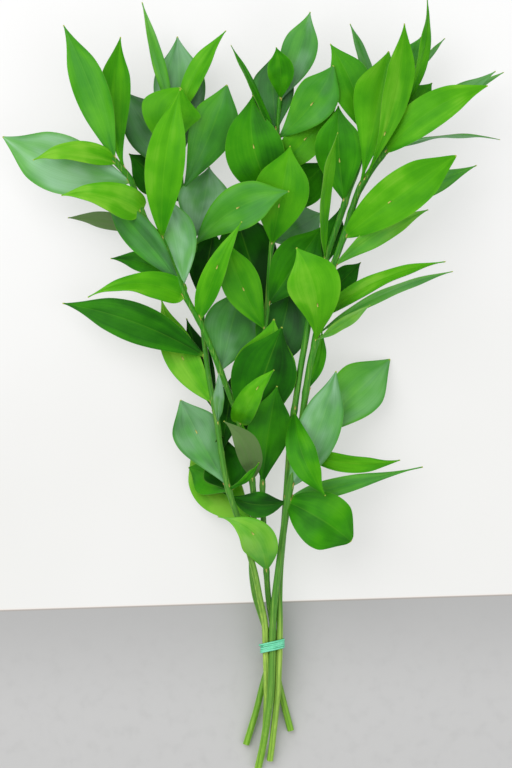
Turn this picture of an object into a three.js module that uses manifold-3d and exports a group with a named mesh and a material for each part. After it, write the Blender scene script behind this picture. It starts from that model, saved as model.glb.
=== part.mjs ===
// A tied bunch of fresh ruscus stems, lying on a surface.
// Five leafy stems cross inside a rubber tie and fan out above it. Every blade is fused to its own stem.
// Units are millimetres. The bunch lies along Y with its tips at +Y, and +Z points up from the surface.
import * as THREE from "three";
import { mergeVertices } from "three/addons/utils/BufferGeometryUtils.js";
import Module from "manifold-3d";

const wasm = await Module();
wasm.setup();

// ---------------------------------------------------------------- driving dimensions
const BLADE_THICKNESS = 0.8;
const PETIOLE_HALF_WIDTH = 1.2;
const TIP_HALF_WIDTH = 0.5;
const TIP_START = 0.7;
const TIP_TAPER = 0.4;
const WIDEST = 0.54;
const FULLNESS = 1;
const STEM_SIDES = 8;
const TIE_WRAPS = 5;
const TIE_HEIGHT = 8.6;
const TIE_THICKNESS = 1.3;
const TIE_SLANT = 4.2;
const TIE_CLEARANCE = 0.35;
const TIE_SIDES = 20;

// The bunch is laid out on a plan sheet of small squares, counted from the sheet's top left corner.
// Heights, widths and radii are in millimetres.
const SHEET_SQUARE = 0.75;
const SHEET_CENTRE = [253.5, 386.5];
const TIE_ROW = 646.5;

// How blades lie over one another.
const FLOOR = 0.1;
const BLADE_CLEARANCE = 1.9;
const STEEPEST_CLEARANCE = 5;
const STEM_CLEARANCE = 1.2;
const SETTLE_ROUNDS = 260;
const SISTER_ROUNDS = 200;
const ROOT_ZONE = 0.3;
const LIFT_SHARE = 0.6;

// ---------------------------------------------------------------- the five stems and their blades
// route: [sheet column, sheet row, height], from the cut end to the top. radius: at the cut end, at the top.
// A blade row: [name, sheet row of its node, sheet column and row of its tip, rise of the tip over the node,
// width, roll, twist, sideways bow, upward arch, cup, where it is widest, fullness]. Roll and twist are in
// degrees, a bow to the left is positive, and the last two may be left out.
const STEMS = [
  {
    name: "leafy_stem_left",
    radius: [2.6, 2.1],
    route: [
      [291, 733, 2.7], [280, 690, 5.8], [276, 672, 6.8], [271.5, 648, 8], [266.5, 632, 9.8],
      [260, 612, 13], [255, 595, 15.5], [252, 570, 18], [253, 530, 20], [254, 500, 22.5],
      [248, 455, 25], [236, 412, 29], [222, 375, 34.5], [210, 345, 39], [200, 322, 41],
      [186, 297, 43], [175, 270, 44], [162, 240, 45], [146, 220, 46], [131, 180, 47],
      [120, 167, 48], [113, 159, 49],
    ],
    blades: [
      ["tall_top", 162, 65, 28, 12, 28, -20, 10, -2.5, 6, 0.1, 0.5],
      ["second_top", 172, 121, 38, -6, 24.5, 22, 10, 6, 5, 0.22, 0.6],
      ["long_left", 183, 3, 137, -12, 44, 0, -8, 5.2, 8, 0.06, 0.54, 0.85],
      ["curled_left", 164, 35, 162, 14, 19, 30, 5, -7, 8, 0.12, 0.36, 0.9],
      ["lower_curled", 213, 63, 197, 14, 25, 15, 15, -6.5, 10, 0.12, 0.22, 0.8],
      ["thin_back", 236, 67, 217, -34, 18, -45, 0, -4, 4, 0.05],
      ["along_stem", 285, 103, 196, -4, 25, -18, 8, -2, 6, 0.1],
      ["small_back", 292, 110, 258, -30, 18, 25, 0, -7, 4, 0.25],
      ["bright_lower", 297, 89, 298, 14, 23, 25, 10, -10, 8, 0.12, 0.2, 1.1],
      ["tall_front", 241, 181, 92, 22, 29.5, 0, 8, 4.5, 12, 0.1, 0.5],
      ["pale_inner", 290, 166, 196, -6, 27, 0, 0, -4, 3, 0.08, 0.57],
      ["narrow_bright", 320, 242, 223, 24, 19, -25, 10, 3, 8, 0.12, 0.35],
      ["shaded_inner", 372, 243, 286, -24, 42, 8, 5, 1, 0, 0.12],
      ["raised_narrow", 425, 274, 370, 28, 23, -38, 0, 3.5, 8, 0.15, 0.24, 0.7],
      ["broad_middle", 440, 282, 327, 1, 49, 0, 0, 1.5, 8, 0.05, 0.57],
      ["broad_behind", 446, 274, 319, -3, 48, 0, 0, -1.5, 6, 0.05, 0.57],
      ["folded_grey", 480, 224, 421, 20, 20, -20, 0, -8, 8, 0.15, 0.42],
      ["low_left", 525, 190, 448, -14, 37, -5, 0, 3.5, 0, 0.1],
    ],
  },
  {
    name: "leafy_stem_inner_left",
    radius: [2.65, 1.7],
    route: [
      [266, 730, 4.4], [266.6, 715, 8], [267, 700, 11], [266.8, 680, 14.8], [266, 655, 17.6],
      [265.5, 640, 18.5], [264.5, 622, 20.5], [260, 600, 24], [254, 570, 28.5], [242, 530, 34],
      [228, 487, 36.5], [221, 450, 35.5], [217, 420, 33], [212, 395, 29], [207, 365, 25],
      [203, 330, 22], [199, 285, 20.5], [196, 255, 20.5], [190, 225, 21.5], [184, 202, 23],
      [181, 180, 24.5], [179, 155, 26], [176, 125, 28],
    ],
    blades: [
      ["thin_tip", 130, 142, 2, 0, 11, 30, 10, 0, 2, 0.08],
      ["broad_tip", 165, 177, 35, -12, 39, 0, 0, -1, 6, 0.08, 0.6],
      ["side_tip", 132, 226, 31, 6, 17, -30, 5, 6, 4, 0.1],
      ["curled_tip", 165, 181, 89, 20, 45, 0, 0, 8, 12, -0.12, 0.72, 0.75],
      ["right_upper", 190, 227, 85, 10, 36, 10, 5, -3, 8, 0.1, 0.64, 0.8],
      ["left_back", 176, 122, 88, -24, 36, 0, 0, 0, 4, 0.08],
      ["left_lower_back", 202, 128, 152, -22, 32, 15, 0, 0, 4, 0.08],
      ["pale_right", 238, 209, 166, -6, 40, 5, 0, -2, 6, 0.08],
      ["front_right", 245, 289, 193, 42, 34, 12, 5, 8, 12, 0.08, 0.55],
      ["behind_left", 404, 161, 299, -20, 26, -8, 5, 5.5, -6, 0.1, 0.5],
      ["dark_left", 357, 62, 303, -6, 30, 0, 8, -5.5, 8, 0.08, 0.5],
      ["deep_left", 300, 214, 228, -6, 30, 0, 0, 0, 4, 0.06],
      ["deep_low", 414, 186, 318, -30, 19, 0, 0, 0, 4, 0.06],
      ["deep_foot", 452, 234, 372, -28, 22, 0, 0, 0, 4, 0.06],
      ["glossy_left", 487, 180, 400, -16, 36, 0, 5, 1, -2, 0.06, 0.64, 0.85],
      ["low_back", 492, 188, 468, -26, 30, 0, 0, -2, 0, 0.1],
      ["cupped_right", 432, 232, 490, -8, 37, 0, 0, 0, -6, 0.3, 0.7, 0.6],
      ["pale_sliver", 424, 219, 373, 20, 14, 55, 0, 0, 4, 0.1],
      ["cup_rim", 489, 259, 462, 6, 6, 30, 0, -2.5, 4, 0.1],
    ],
  },
  {
    name: "leafy_stem_middle",
    radius: [2.5, 1.6],
    route: [
      [246, 747, 2.6], [256.5, 712, 5.6], [262.5, 688, 8], [267, 672, 10.2], [272, 657, 12.7],
      [275.2, 647, 13.7], [272.5, 625, 14.4], [268.4, 598, 16.5], [266, 565, 18.8], [263.4, 520, 21.5],
      [262.5, 490, 23], [263, 450, 24], [264, 400, 25.5], [264.5, 350, 28], [266, 320, 29],
      [268, 290, 30.5], [270.5, 255, 32], [274, 225, 33], [276, 195, 34], [277, 160, 35],
      [277.5, 130, 36], [280, 98, 37.5],
    ],
    blades: [
      ["small_tip", 100, 276, 50, 24, 20, 0, 0, -2, 4, 0.1],
      ["top", 102, 310, 13, 4, 27, 8, 5, -1.5, 6, 0.08, 0.56],
      ["shaded_tip", 132, 274, 54, -14, 32, -5, 0, 2, 5, 0.1],
      ["thin_dark", 143, 231, 47, 16, 11, 60, 5, -1, 4, 0.1],
      ["broad_left", 198, 253, 96, 4, 44, 0, 0, 8, 8, 0.08, 0.46],
      ["right_upper", 139, 333, 67, 12, 32, 5, 0, -5, 8, 0.08, 0.6, 0.8],
      ["right_lower", 171, 337, 104, -6, 28, 0, 0, 0, 6, 0.08, 0.45, 0.9],
      ["front", 246, 290, 147, 14, 41, 0, 0, 0, 12, 0.08],
      ["right_back", 214, 328, 160, -26, 32, 0, 0, 0, 4, 0.08],
      ["right_low_back", 242, 322, 212, -30, 38, 0, 0, 0, 4, 0.08],
      ["right_middle", 306, 322, 226, -8, 36, 0, 0, 0, 6, 0.08],
      ["left_middle", 330, 226, 240, 22, 29, 5, 0, 3, 8, 0.1],
      ["left_dark", 312, 232, 203, -26, 44, 0, 0, 0, 4, 0.08],
      ["lower_front", 486, 277, 386, 12, 32.4, 5, 0, 1.4, 7, 0.1, 0.58],
      ["right_dark", 374, 290, 288, -18, 40, 0, 0, -3, 4, 0.08],
      ["lowest", 572, 218, 516, 26, 27, 0, 0, -11.5, 8, 0.05, 0.385, 1.5],
    ],
  },
  {
    name: "leafy_stem_right",
    radius: [2.8, 2.4],
    route: [
      [258, 771, 2.9], [263.5, 745, 9], [267.3, 720, 14.8], [270.2, 700, 18.2], [271.6, 680, 19.6],
      [272.4, 655, 20], [272.4, 640, 20.4], [273, 622, 21.2], [274.8, 600, 22.8], [279.8, 560, 25.5],
      [283.6, 530, 28], [288, 500, 30.5], [293.5, 465, 33], [300.5, 430, 35], [305.3, 395, 37],
      [310, 365, 38.5], [315, 343, 39.5], [321, 310, 41], [330, 275, 42.5], [344, 235, 44],
      [351, 212, 44.5], [359, 190, 45], [370, 172, 46], [384, 152, 47], [393, 132, 48],
      [398, 118, 48.5],
    ],
    blades: [
      ["small_back", 128, 432, 83, -18, 26, 0, 0, 0, 4, 0.08],
      ["upper_pale", 134, 495, 72, -10, 18, 25, 0, -1.5, 5, 0.08],
      ["upper_thin", 121, 504, 72, -22, 18, 55, 0, -1, 4, 0.08],
      ["upper_bright", 154, 486, 88, 12, 27, -10, 0, 7, 10, 0.06, 0.45, 0.75],
      ["edge_on", 156, 499, 141, 2, 12, 80, 0, 8, 2, 0.05],
      ["large_left", 188, 388, 53, 8, 39, 0, 0, 0, 12, 0.08, 0.68],
      ["large_right", 182, 403, 27, 20, 25, 30, 0, -7, 8, 0.08, 0.65],
      ["tall_thin", 120, 426, 1, 8, 12, 45, 10, -7, 4, 0.1, 0.53],
      ["tip_behind", 214, 477, 165, -22, 18, 0, 0, -1.2, 4, 0.06],
      ["large_bright", 238, 455, 157, 12, 34, 0, 0, 1, 12, 0.06, 0.52, 0.66],
      ["long_lower", 268, 428, 210, -6, 18.5, 30, 0, 4, 6, 0.1],
      ["small_dark", 300, 361, 262, -24, 18, 0, 0, 0, 4, 0.06],
      ["upper_narrow", 318, 445, 262, 0, 15, -35, 0, 7.5, 8, 0.08, 0.36],
      ["long_narrow", 335, 452, 272, 10, 15, 58, 0, 6.5, 6, 0.08],
      ["short_narrow", 341, 369, 306, 30, 13, 50, 0, 0, 4, 0.1],
      ["broad_front", 343, 296, 249, 28, 40, 0, 0, -7.5, 14, 0.04, 0.6],
      ["behind_stem", 392, 322, 330, -18, 12, 30, 0, -3, 4, 0.08],
      ["light_side", 448, 391, 359, -32, 40, 0, 0, 0, 8, 0.05, 0.66, 0.85],
      ["pale_side", 487, 336, 371, 6, 32, 0, 0, -4, 10, 0.08, 0.5, 0.8],
      ["twisted_side", 447, 400, 460, 2, 14, 15, 15, -7.5, 6, 0.08, 0.45, 0.8],
      ["long_low", 499, 423, 467, -4, 14, 10, 30, 0.8, 6, 0.08, 0.32, 1.5],
      ["hanging", 502, 351, 541, 12, 43, 0, 0, 2.4, 10, 0.05, 0.56, 0.5],
      ["low_left", 501, 222, 492, -8, 20, 10, 0, 6, 2, 0.12, 0.42, 2],
    ],
  },
  {
    name: "leafy_stem_inner_right",
    radius: [2.5, 2.4],
    route: [
      [270, 763, 3.6], [273.4, 735, 9.5], [277, 700, 15], [278.3, 680, 17], [279.3, 655, 18],
      [279.6, 640, 18.3], [279.8, 622, 18.4], [279.4, 600, 18.2], [280.4, 570, 18], [283, 540, 19],
      [286, 500, 24], [288, 470, 27.5], [291, 430, 31.5], [295, 405, 33.5], [300.2, 370, 35],
      [305.6, 340, 36], [311, 310, 37], [321, 275, 38], [334, 235, 39], [342, 212, 39.5],
      [349, 190, 40], [356, 172, 41], [363, 150, 42], [376, 120, 43.5], [390, 98, 44.5],
      [399, 86, 45.5],
    ],
    blades: [
      ["tip_grey", 98, 421, 37, -14, 22, 20, 0, 0, 3, 0.08],
      ["tip_thin", 96, 445, 38, -20, 9, 55, 0, 0, 3, 0.08],
      ["tip_dark", 128, 414, 72, -8, 26, 0, 0, -2, 4, 0.08],
      ["left_upper", 140, 330, 45, 0, 31, 0, 0, -4, 6, 0.08],
      ["left_thin", 116, 350, 24, -12, 14, 48, 0, -1.5, 3, 0.08],
      ["left_broad", 204, 338, 107, 8, 36, 0, 0, 2, 8, 0.08, 0.56],
      ["front_narrow", 262, 337, 135, 30, 18, 62, 0, 5, 6, 0.1],
      ["deep_side", 268, 340, 208, -10, 16, 0, 0, 0, 4, 0.06],
      ["pointing_down", 410.5, 325, 495, 22, 23, 16, 0, -5.5, 10, 0.1, 0.5],
    ],
  },
];

// ---------------------------------------------------------------- plan sheet and stem routes
const planX = (column) => (column - SHEET_CENTRE[0]) * SHEET_SQUARE;
const planY = (row) => (SHEET_CENTRE[1] - row) * SHEET_SQUARE;
const radians = (degrees) => (degrees * Math.PI) / 180;

// A stem's centre line as smooth functions of y: cubic pieces, with the slope of the chord round each knot.
class Route {
  constructor(points) {
    this.knots = points.map(([column, row, z]) => [planX(column), planY(row), z]);
    this.start = this.knots[0][1];
    this.end = this.knots[this.knots.length - 1][1];
    this.slopes = this.knots.map((_, i) => {
      const before = this.knots[Math.max(i - 1, 0)];
      const after = this.knots[Math.min(i + 1, this.knots.length - 1)];
      const run = after[1] - before[1];
      return [(after[0] - before[0]) / run, (after[2] - before[2]) / run];
    });
  }

  at(y) {
    let i = 0;
    while (i < this.knots.length - 2 && this.knots[i + 1][1] < y) i += 1;
    const [a, b] = [this.knots[i], this.knots[i + 1]];
    const span = b[1] - a[1];
    const t = (y - a[1]) / span;
    const cubic = (axis, slope) => {
      const [p, q] = [a[axis], b[axis]];
      const [m, n] = [this.slopes[i][slope] * span, this.slopes[i + 1][slope] * span];
      return p + t * (m + t * (3 * (q - p) - 2 * m - n + t * (2 * (p - q) + m + n)));
    };
    return new THREE.Vector3(cubic(0, 0), y, cubic(2, 1));
  }

  tangent(y) {
    const step = 0.5;
    return this.at(y + step).sub(this.at(y - step)).normalize();
  }
}

// ---------------------------------------------------------------- blades
// A ramp from 0 to 1 that starts and ends level.
const smoothRamp = (t) => {
  const held = Math.min(Math.max(t, 0), 1);
  return held * held * (3 - 2 * held);
};

// The three ways in which a blade bends clear of another: up at its root, up in its middle and up at its tip.
const bends = (s) => [smoothRamp(s / 0.2), 4 * s * (1 - s), s];

class Blade {
  constructor(stem, row) {
    const [name, nodeRow, tipColumn, tipRow, rise, width, roll, twist, bow, arch, cup] = row;
    const [widest = WIDEST, fullness = FULLNESS] = row.slice(11);
    this.name = name;
    this.stem = stem;
    this.root = stem.route.at(planY(nodeRow));
    this.tip = new THREE.Vector2(planX(tipColumn), planY(tipRow));
    this.halfWidth = width / 2;
    this.power = Math.log(0.5) / Math.log(widest);
    this.fullness = fullness;
    this.roll = radians(roll);
    this.twist = radians(twist);
    this.bow = bow;
    this.cup = cup;
    this.bend = [0, arch, rise];
  }

  // The centre line seen from above, and the direction to its left.
  plan(s) {
    const along = new THREE.Vector2(this.tip.x - this.root.x, this.tip.y - this.root.y);
    const left = new THREE.Vector2(-along.y, along.x).normalize();
    const sway = 4 * this.bow * s * (1 - s);
    const swaySlope = 4 * this.bow * (1 - 2 * s);
    const centre = new THREE.Vector2(this.root.x, this.root.y).addScaledVector(along, s);
    const heading = along.clone().addScaledVector(left, swaySlope).normalize();
    return { centre: centre.addScaledVector(left, sway), left: new THREE.Vector2(-heading.y, heading.x) };
  }

  // Half width at a share s of the length: a wedge at the root, and drawn out to a point at the tip.
  halfWidthAt(s) {
    const taper = 1 - TIP_TAPER * smoothRamp((s - TIP_START) / (1 - TIP_START));
    const profile = Math.max(Math.sin(Math.PI * s ** this.power), 0) ** this.fullness * taper;
    return Math.max(this.halfWidth * profile, s < 0.5 ? PETIOLE_HALF_WIDTH : TIP_HALF_WIDTH);
  }

  // Height of the centre line: the node's height and the three bends.
  height(s) {
    const [lift, arch, rise] = bends(s);
    return this.root.z + this.bend[0] * lift + this.bend[1] * arch + this.bend[2] * rise;
  }

  // A point of the middle surface: u runs from -1 at the right edge to 1 at the left edge.
  point(s, u) {
    const { centre, left } = this.plan(s);
    const roll = this.roll + this.twist * (s - 0.5);
    const half = this.halfWidthAt(s);
    const curl = this.cup * half * u * u;
    const across = u * half * Math.cos(roll) - curl * Math.sin(roll);
    const up = u * half * Math.sin(roll) + curl * Math.cos(roll);
    return new THREE.Vector3(centre.x + left.x * across, centre.y + left.y * across, this.height(s) + up);
  }

  normal(s, u) {
    const step = 0.01;
    const along = this.point(Math.min(s + step, 1), u).sub(this.point(Math.max(s - step, 0), u));
    const across = this.point(s, u + step).sub(this.point(s, u - step));
    return along.cross(across).normalize();
  }
}

// ---------------------------------------------------------------- blades bent clear of one another
const STATIONS = [0, 0.1, 0.28, 0.5, 0.7, 0.87, 1];
const ACROSS = [-1, 0, 1];
const PROBE_S = [0.1, 0.2, 0.3, 0.4, 0.5, 0.6, 0.7, 0.8, 0.9, 1];
const PROBE_U = [-1, -0.5, 0, 0.5, 1];

// The blade's facets seen from above: three corners each, with the s of each corner.
function planFacets(blade) {
  const facets = [];
  const corner = (i, j) => {
    const p = blade.point(STATIONS[i], ACROSS[j]);
    return { x: p.x, y: p.y, offset: p.z - blade.height(STATIONS[i]), s: STATIONS[i] };
  };
  for (let i = 0; i < STATIONS.length - 1; i += 1) {
    for (let j = 0; j < ACROSS.length - 1; j += 1) {
      const [a, b, c, d] = [corner(i, j), corner(i + 1, j), corner(i + 1, j + 1), corner(i, j + 1)];
      facets.push([a, b, c], [a, c, d]);
    }
  }
  return facets;
}

// The shares of a facet's three corners at a plan point, or null outside it.
function sharesIn(facet, x, y) {
  const [a, b, c] = facet;
  const area = (b.x - a.x) * (c.y - a.y) - (c.x - a.x) * (b.y - a.y);
  if (Math.abs(area) < 0.05) return null;
  const second = ((x - a.x) * (c.y - a.y) - (c.x - a.x) * (y - a.y)) / area;
  const third = ((b.x - a.x) * (y - a.y) - (x - a.x) * (b.y - a.y)) / area;
  const first = 1 - second - third;
  return first < 0 || second < 0 || third < 0 ? null : [first, second, third];
}

// Where a plan point lies on a blade: its place as a mix of bends and a fixed height.
function shadowOn(blade, x, y) {
  for (const facet of blade.facets) {
    const shares = sharesIn(facet, x, y);
    if (!shares) continue;
    const mix = [0, 0, 0];
    let fixed = blade.root.z;
    let s = 0;
    shares.forEach((share, k) => {
      bends(facet[k].s).forEach((value, m) => {
        mix[m] += share * value;
      });
      fixed += share * facet[k].offset;
      s += share * facet[k].s;
    });
    return { mix, fixed, s };
  }
  return null;
}

const boxOf = (points) => ({
  x0: Math.min(...points.map((p) => p.x)),
  x1: Math.max(...points.map((p) => p.x)),
  y0: Math.min(...points.map((p) => p.y)),
  y1: Math.max(...points.map((p) => p.y)),
});
const meets = (a, b) => a.x0 < b.x1 && b.x0 < a.x1 && a.y0 < b.y1 && b.y0 < a.y1;
const heightOf = (blade, place) =>
  place.fixed + place.mix.reduce((sum, value, m) => sum + value * blade.bend[m], 0);

// Every plan point where two blades, or a blade and a foreign stem, lie over one another.
function crossings(stems, blades) {
  const found = [];
  for (const blade of blades) {
    blade.facets = planFacets(blade);
    blade.box = boxOf(blade.facets.flat());
    blade.probes = PROBE_S.flatMap((s) =>
      PROBE_U.map((u) => {
        const p = blade.point(s, u);
        return { x: p.x, y: p.y, s, mix: bends(s), fixed: blade.root.z + p.z - blade.height(s) };
      }),
    );
  }
  for (const one of blades) {
    for (const other of blades) {
      if (one === other || !meets(one.box, other.box)) continue;
      const sister = one.stem === other.stem;
      const steep = Math.min(Math.cos(one.roll), Math.cos(other.roll));
      const clearance = Math.min(BLADE_CLEARANCE / steep, STEEPEST_CLEARANCE);
      for (const probe of one.probes) {
        const shadow = shadowOn(other, probe.x, probe.y);
        if (!shadow || (sister && (probe.s < ROOT_ZONE || shadow.s < ROOT_ZONE))) continue;
        found.push({ one, other, probe, shadow, clearance, sister });
      }
    }
  }
  for (const stem of stems) {
    for (const blade of blades) {
      if (blade.stem === stem) continue;
      for (let y = stem.route.start; y <= stem.route.end; y += 4) {
        const p = stem.route.at(y);
        const radius = stem.radiusAt(y);
        for (const offset of [-radius, 0, radius]) {
          const shadow = shadowOn(blade, p.x + offset, p.y);
          if (!shadow) continue;
          const clearance = radius + STEM_CLEARANCE / Math.sqrt(Math.cos(blade.roll));
          const probe = { mix: [0, 0, 0], fixed: p.z };
          found.push({ one: stem, other: blade, probe, shadow, clearance, sister: false });
        }
      }
    }
  }
  return found;
}

// Which of the two lies on top is what their unbent heights say over the whole overlap.
function rank(found) {
  const sums = new Map();
  const keyOf = (a, b) => (a.id < b.id ? a.id * 1000 + b.id : b.id * 1000 + a.id);
  for (const c of found) {
    const gap = heightOf(c.one, c.probe) - heightOf(c.other, c.shadow);
    const key = keyOf(c.one, c.other);
    sums.set(key, (sums.get(key) ?? 0) + (c.one.id < c.other.id ? gap : -gap));
  }
  for (const c of found) {
    const sum = sums.get(keyOf(c.one, c.other));
    c.side = (sum >= 0) === c.one.id < c.other.id ? 1 : -1;
  }
}

// Bends each pair apart where it is too close, a little at a time, and keeps every blade off the surface.
function settle(stems, blades) {
  const found = crossings(stems, blades);
  rank(found);
  const freedom = [LIFT_SHARE, 1, 1];
  const shift = (blade, mix, amount) => mix.forEach((value, m) => {
    blade.bend[m] += amount * value * freedom[m];
  });
  const weight = (mix) => mix.reduce((sum, value, m) => sum + value * value * freedom[m], 0);
  for (let round = 0; round < SETTLE_ROUNDS; round += 1) {
    for (const c of found) {
      if (c.sister && round >= SISTER_ROUNDS) continue;
      const gap = c.side * (heightOf(c.one, c.probe) - heightOf(c.other, c.shadow));
      const short = c.clearance - gap;
      if (short <= 0) continue;
      const total = weight(c.probe.mix) + weight(c.shadow.mix);
      if (total < 0.02) continue;
      const amount = (c.side * short) / total;
      if (c.one.bend !== NO_BEND) shift(c.one, c.probe.mix, amount);
      shift(c.other, c.shadow.mix, -amount);
    }
    for (const blade of blades) {
      for (const probe of blade.probes) {
        const short = FLOOR + BLADE_THICKNESS / 2 - heightOf(blade, probe);
        if (short > 0) shift(blade, probe.mix, short / weight(probe.mix));
      }
    }
  }
}

// ---------------------------------------------------------------- solids
// A closed solid from a flat list of corner places and a list of faces.
function solidFrom(places, faces) {
  const geometry = new THREE.BufferGeometry();
  geometry.setAttribute("position", new THREE.Float32BufferAttribute(places, 3));
  geometry.setIndex(faces);
  return toSolid(geometry);
}

function toSolid(geometry) {
  const bare = geometry.clone();
  bare.deleteAttribute("normal");
  bare.deleteAttribute("uv");
  const merged = mergeVertices(bare, 1e-4);
  return new wasm.Manifold(
    new wasm.Mesh({
      numProp: 3,
      vertProperties: new Float32Array(merged.attributes.position.array),
      triVerts: new Uint32Array(merged.index.array),
    }),
  );
}

// Rings of equal size, joined in a row. Each runs anticlockwise seen from the last one, and both ends close.
function loft(rings, closedLoop = false) {
  const size = rings[0].length;
  const faces = [];
  const count = closedLoop ? rings.length : rings.length - 1;
  for (let i = 0; i < count; i += 1) {
    const next = (i + 1) % rings.length;
    for (let j = 0; j < size; j += 1) {
      const k = (j + 1) % size;
      faces.push(i * size + j, i * size + k, next * size + k);
      faces.push(i * size + j, next * size + k, next * size + j);
    }
  }
  if (!closedLoop) {
    const last = (rings.length - 1) * size;
    for (let j = 1; j < size - 1; j += 1) {
      faces.push(0, j + 1, j);
      faces.push(last, last + j, last + j + 1);
    }
  }
  return solidFrom(rings.flat().flatMap((p) => [p.x, p.y, p.z]), faces);
}

function stemSolid(stem) {
  const { route } = stem;
  const rings = route.knots.map(([, y]) => {
    const centre = route.at(y);
    const tangent = route.tangent(y);
    const side = new THREE.Vector3().crossVectors(tangent, new THREE.Vector3(0, 0, 1)).normalize();
    const up = new THREE.Vector3().crossVectors(side, tangent);
    const ring = [];
    for (let k = 0; k < STEM_SIDES; k += 1) {
      const angle = (2 * Math.PI * (k + 0.5)) / STEM_SIDES;
      ring.push(
        centre
          .clone()
          .addScaledVector(side, -Math.cos(angle) * stem.radiusAt(y))
          .addScaledVector(up, -Math.sin(angle) * stem.radiusAt(y)),
      );
    }
    return ring.reverse();
  });
  return loft(rings);
}

// A thin plate, three corners across on each face, so that both faces split into triangles alike.
function bladeSolid(blade) {
  const rings = STATIONS.map((s) => {
    const face = (offset) => ACROSS.map((u) => blade.point(s, u).addScaledVector(blade.normal(s, u), offset));
    return { top: face(BLADE_THICKNESS / 2), bottom: face(-BLADE_THICKNESS / 2) };
  });
  const places = rings.flatMap(({ top, bottom }) => [...top, ...bottom]).flatMap((p) => [p.x, p.y, p.z]);
  const faces = [];
  const wide = ACROSS.length;
  const ring = 2 * wide;
  const quad = (a, b, c, d) => faces.push(a, b, c, a, c, d);
  for (let i = 0; i < STATIONS.length - 1; i += 1) {
    const [here, next] = [i * ring, (i + 1) * ring];
    for (let j = 0; j < wide - 1; j += 1) {
      faces.push(here + j, next + j, next + j + 1, here + j, next + j + 1, here + j + 1);
      const [h, n] = [here + wide + j, next + wide + j];
      faces.push(h, n + 1, n, h, h + 1, n + 1);
    }
    quad(here, here + wide, next + wide, next);
    quad(here + wide - 1, next + wide - 1, next + ring - 1, here + ring - 1);
  }
  const last = (STATIONS.length - 1) * ring;
  for (let j = 0; j < wide - 1; j += 1) {
    quad(j, j + 1, wide + j + 1, wide + j);
    quad(last + j, last + wide + j, last + wide + j + 1, last + j + 1);
  }
  return solidFrom(places, faces);
}

// Rubber wound round the stems: one closed band with a ridge for each wrap.
function tieSolid(stems) {
  const y = planY(TIE_ROW);
  const reachAlong = (TIE_HEIGHT + TIE_SLANT) / 2;
  const discs = [y - reachAlong, y, y + reachAlong].flatMap((level) =>
    stems.map((stem) => ({ centre: stem.route.at(level), radius: stem.radiusAt(level) })),
  );
  const middle = new THREE.Vector2(0, 0);
  discs.forEach(({ centre }) => middle.add(new THREE.Vector2(centre.x, centre.z)));
  middle.divideScalar(discs.length);
  const half = TIE_HEIGHT / 2;
  const section = [];
  for (let k = 0; k <= TIE_WRAPS * 2; k += 1) {
    section.push([TIE_THICKNESS * (k % 2 ? 1 : 0.62), -half + (TIE_HEIGHT * k) / (TIE_WRAPS * 2)]);
  }
  section.push([0, half], [0, -half]);
  const rings = [];
  for (let i = 0; i < TIE_SIDES; i += 1) {
    const angle = (2 * Math.PI * i) / TIE_SIDES;
    const out = new THREE.Vector2(Math.cos(angle), Math.sin(angle));
    const reach = Math.max(
      ...discs.map(
        ({ centre, radius }) =>
          (centre.x - middle.x) * out.x + (centre.z - middle.y) * out.y + radius,
      ),
    );
    rings.push({ out, reach });
  }
  const hull = rings.map(({ out, reach }, i) => {
    const next = rings[(i + 1) % TIE_SIDES];
    const cross = out.x * next.out.y - out.y * next.out.x;
    const gap = TIE_CLEARANCE;
    return new THREE.Vector2(
      ((reach + gap) * next.out.y - (next.reach + gap) * out.y) / cross,
      ((next.reach + gap) * out.x - (reach + gap) * next.out.x) / cross,
    );
  });
  return loft(
    hull.map((corner) => {
      const out = corner.clone().normalize();
      return section.map(([thick, along]) => {
        const place = corner.clone().addScaledVector(out, thick);
        const slant = (TIE_SLANT * place.x) / 16;
        return new THREE.Vector3(middle.x + place.x, y + along + slant, middle.y + place.y);
      });
    }),
    true,
  );
}

// ---------------------------------------------------------------- the bunch
const NO_BEND = [0, 0, 0];
const stems = STEMS.map((row, id) => {
  const route = new Route(row.route);
  const stem = { name: row.name, route, id, bend: NO_BEND };
  stem.radiusAt = (y) => {
    const t = (y - route.start) / (route.end - route.start);
    return row.radius[0] + (row.radius[1] - row.radius[0]) * t;
  };
  return stem;
});
const blades = STEMS.flatMap((row, i) => row.blades.map((blade) => new Blade(stems[i], blade)));
blades.forEach((blade, i) => {
  blade.id = stems.length + i;
});
settle(stems, blades);

function meshOf(solid, name, material) {
  const { vertProperties, triVerts } = solid.getMesh();
  const geometry = new THREE.BufferGeometry();
  geometry.setAttribute("position", new THREE.BufferAttribute(vertProperties, 3));
  geometry.setIndex(new THREE.BufferAttribute(triVerts, 1));
  geometry.computeVertexNormals();
  const mesh = new THREE.Mesh(geometry, material);
  mesh.name = name;
  return mesh;
}

const leafGreen = new THREE.MeshStandardMaterial({ color: 0x3f9420, roughness: 0.38, metalness: 0 });
const tieGreen = new THREE.MeshStandardMaterial({ color: 0x62d3a2, roughness: 0.5, metalness: 0 });

const bunch = new THREE.Group();
for (const stem of stems) {
  let solid = stemSolid(stem);
  for (const blade of blades.filter((b) => b.stem === stem)) solid = solid.add(bladeSolid(blade));
  bunch.add(meshOf(solid, stem.name, leafGreen));
}
bunch.add(meshOf(tieSolid(stems), "rubber_tie", tieGreen));

export default bunch;
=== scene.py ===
"""Dressed model of a tied bunch of fresh ruscus stems, lying on a pale surface.

Five leafy stems cross inside a rubber tie and fan out above it. Routes, blades and the way in which blades
bend clear of one another are those of the solids, so each fine piece lies where its solid lies.
Lengths in this file are millimetres until a mesh is made, where they become metres.
"""

import functools
import logging
import math
from dataclasses import dataclass, field
from enum import Enum
from typing import Any, Callable, Iterable, Sequence

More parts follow.
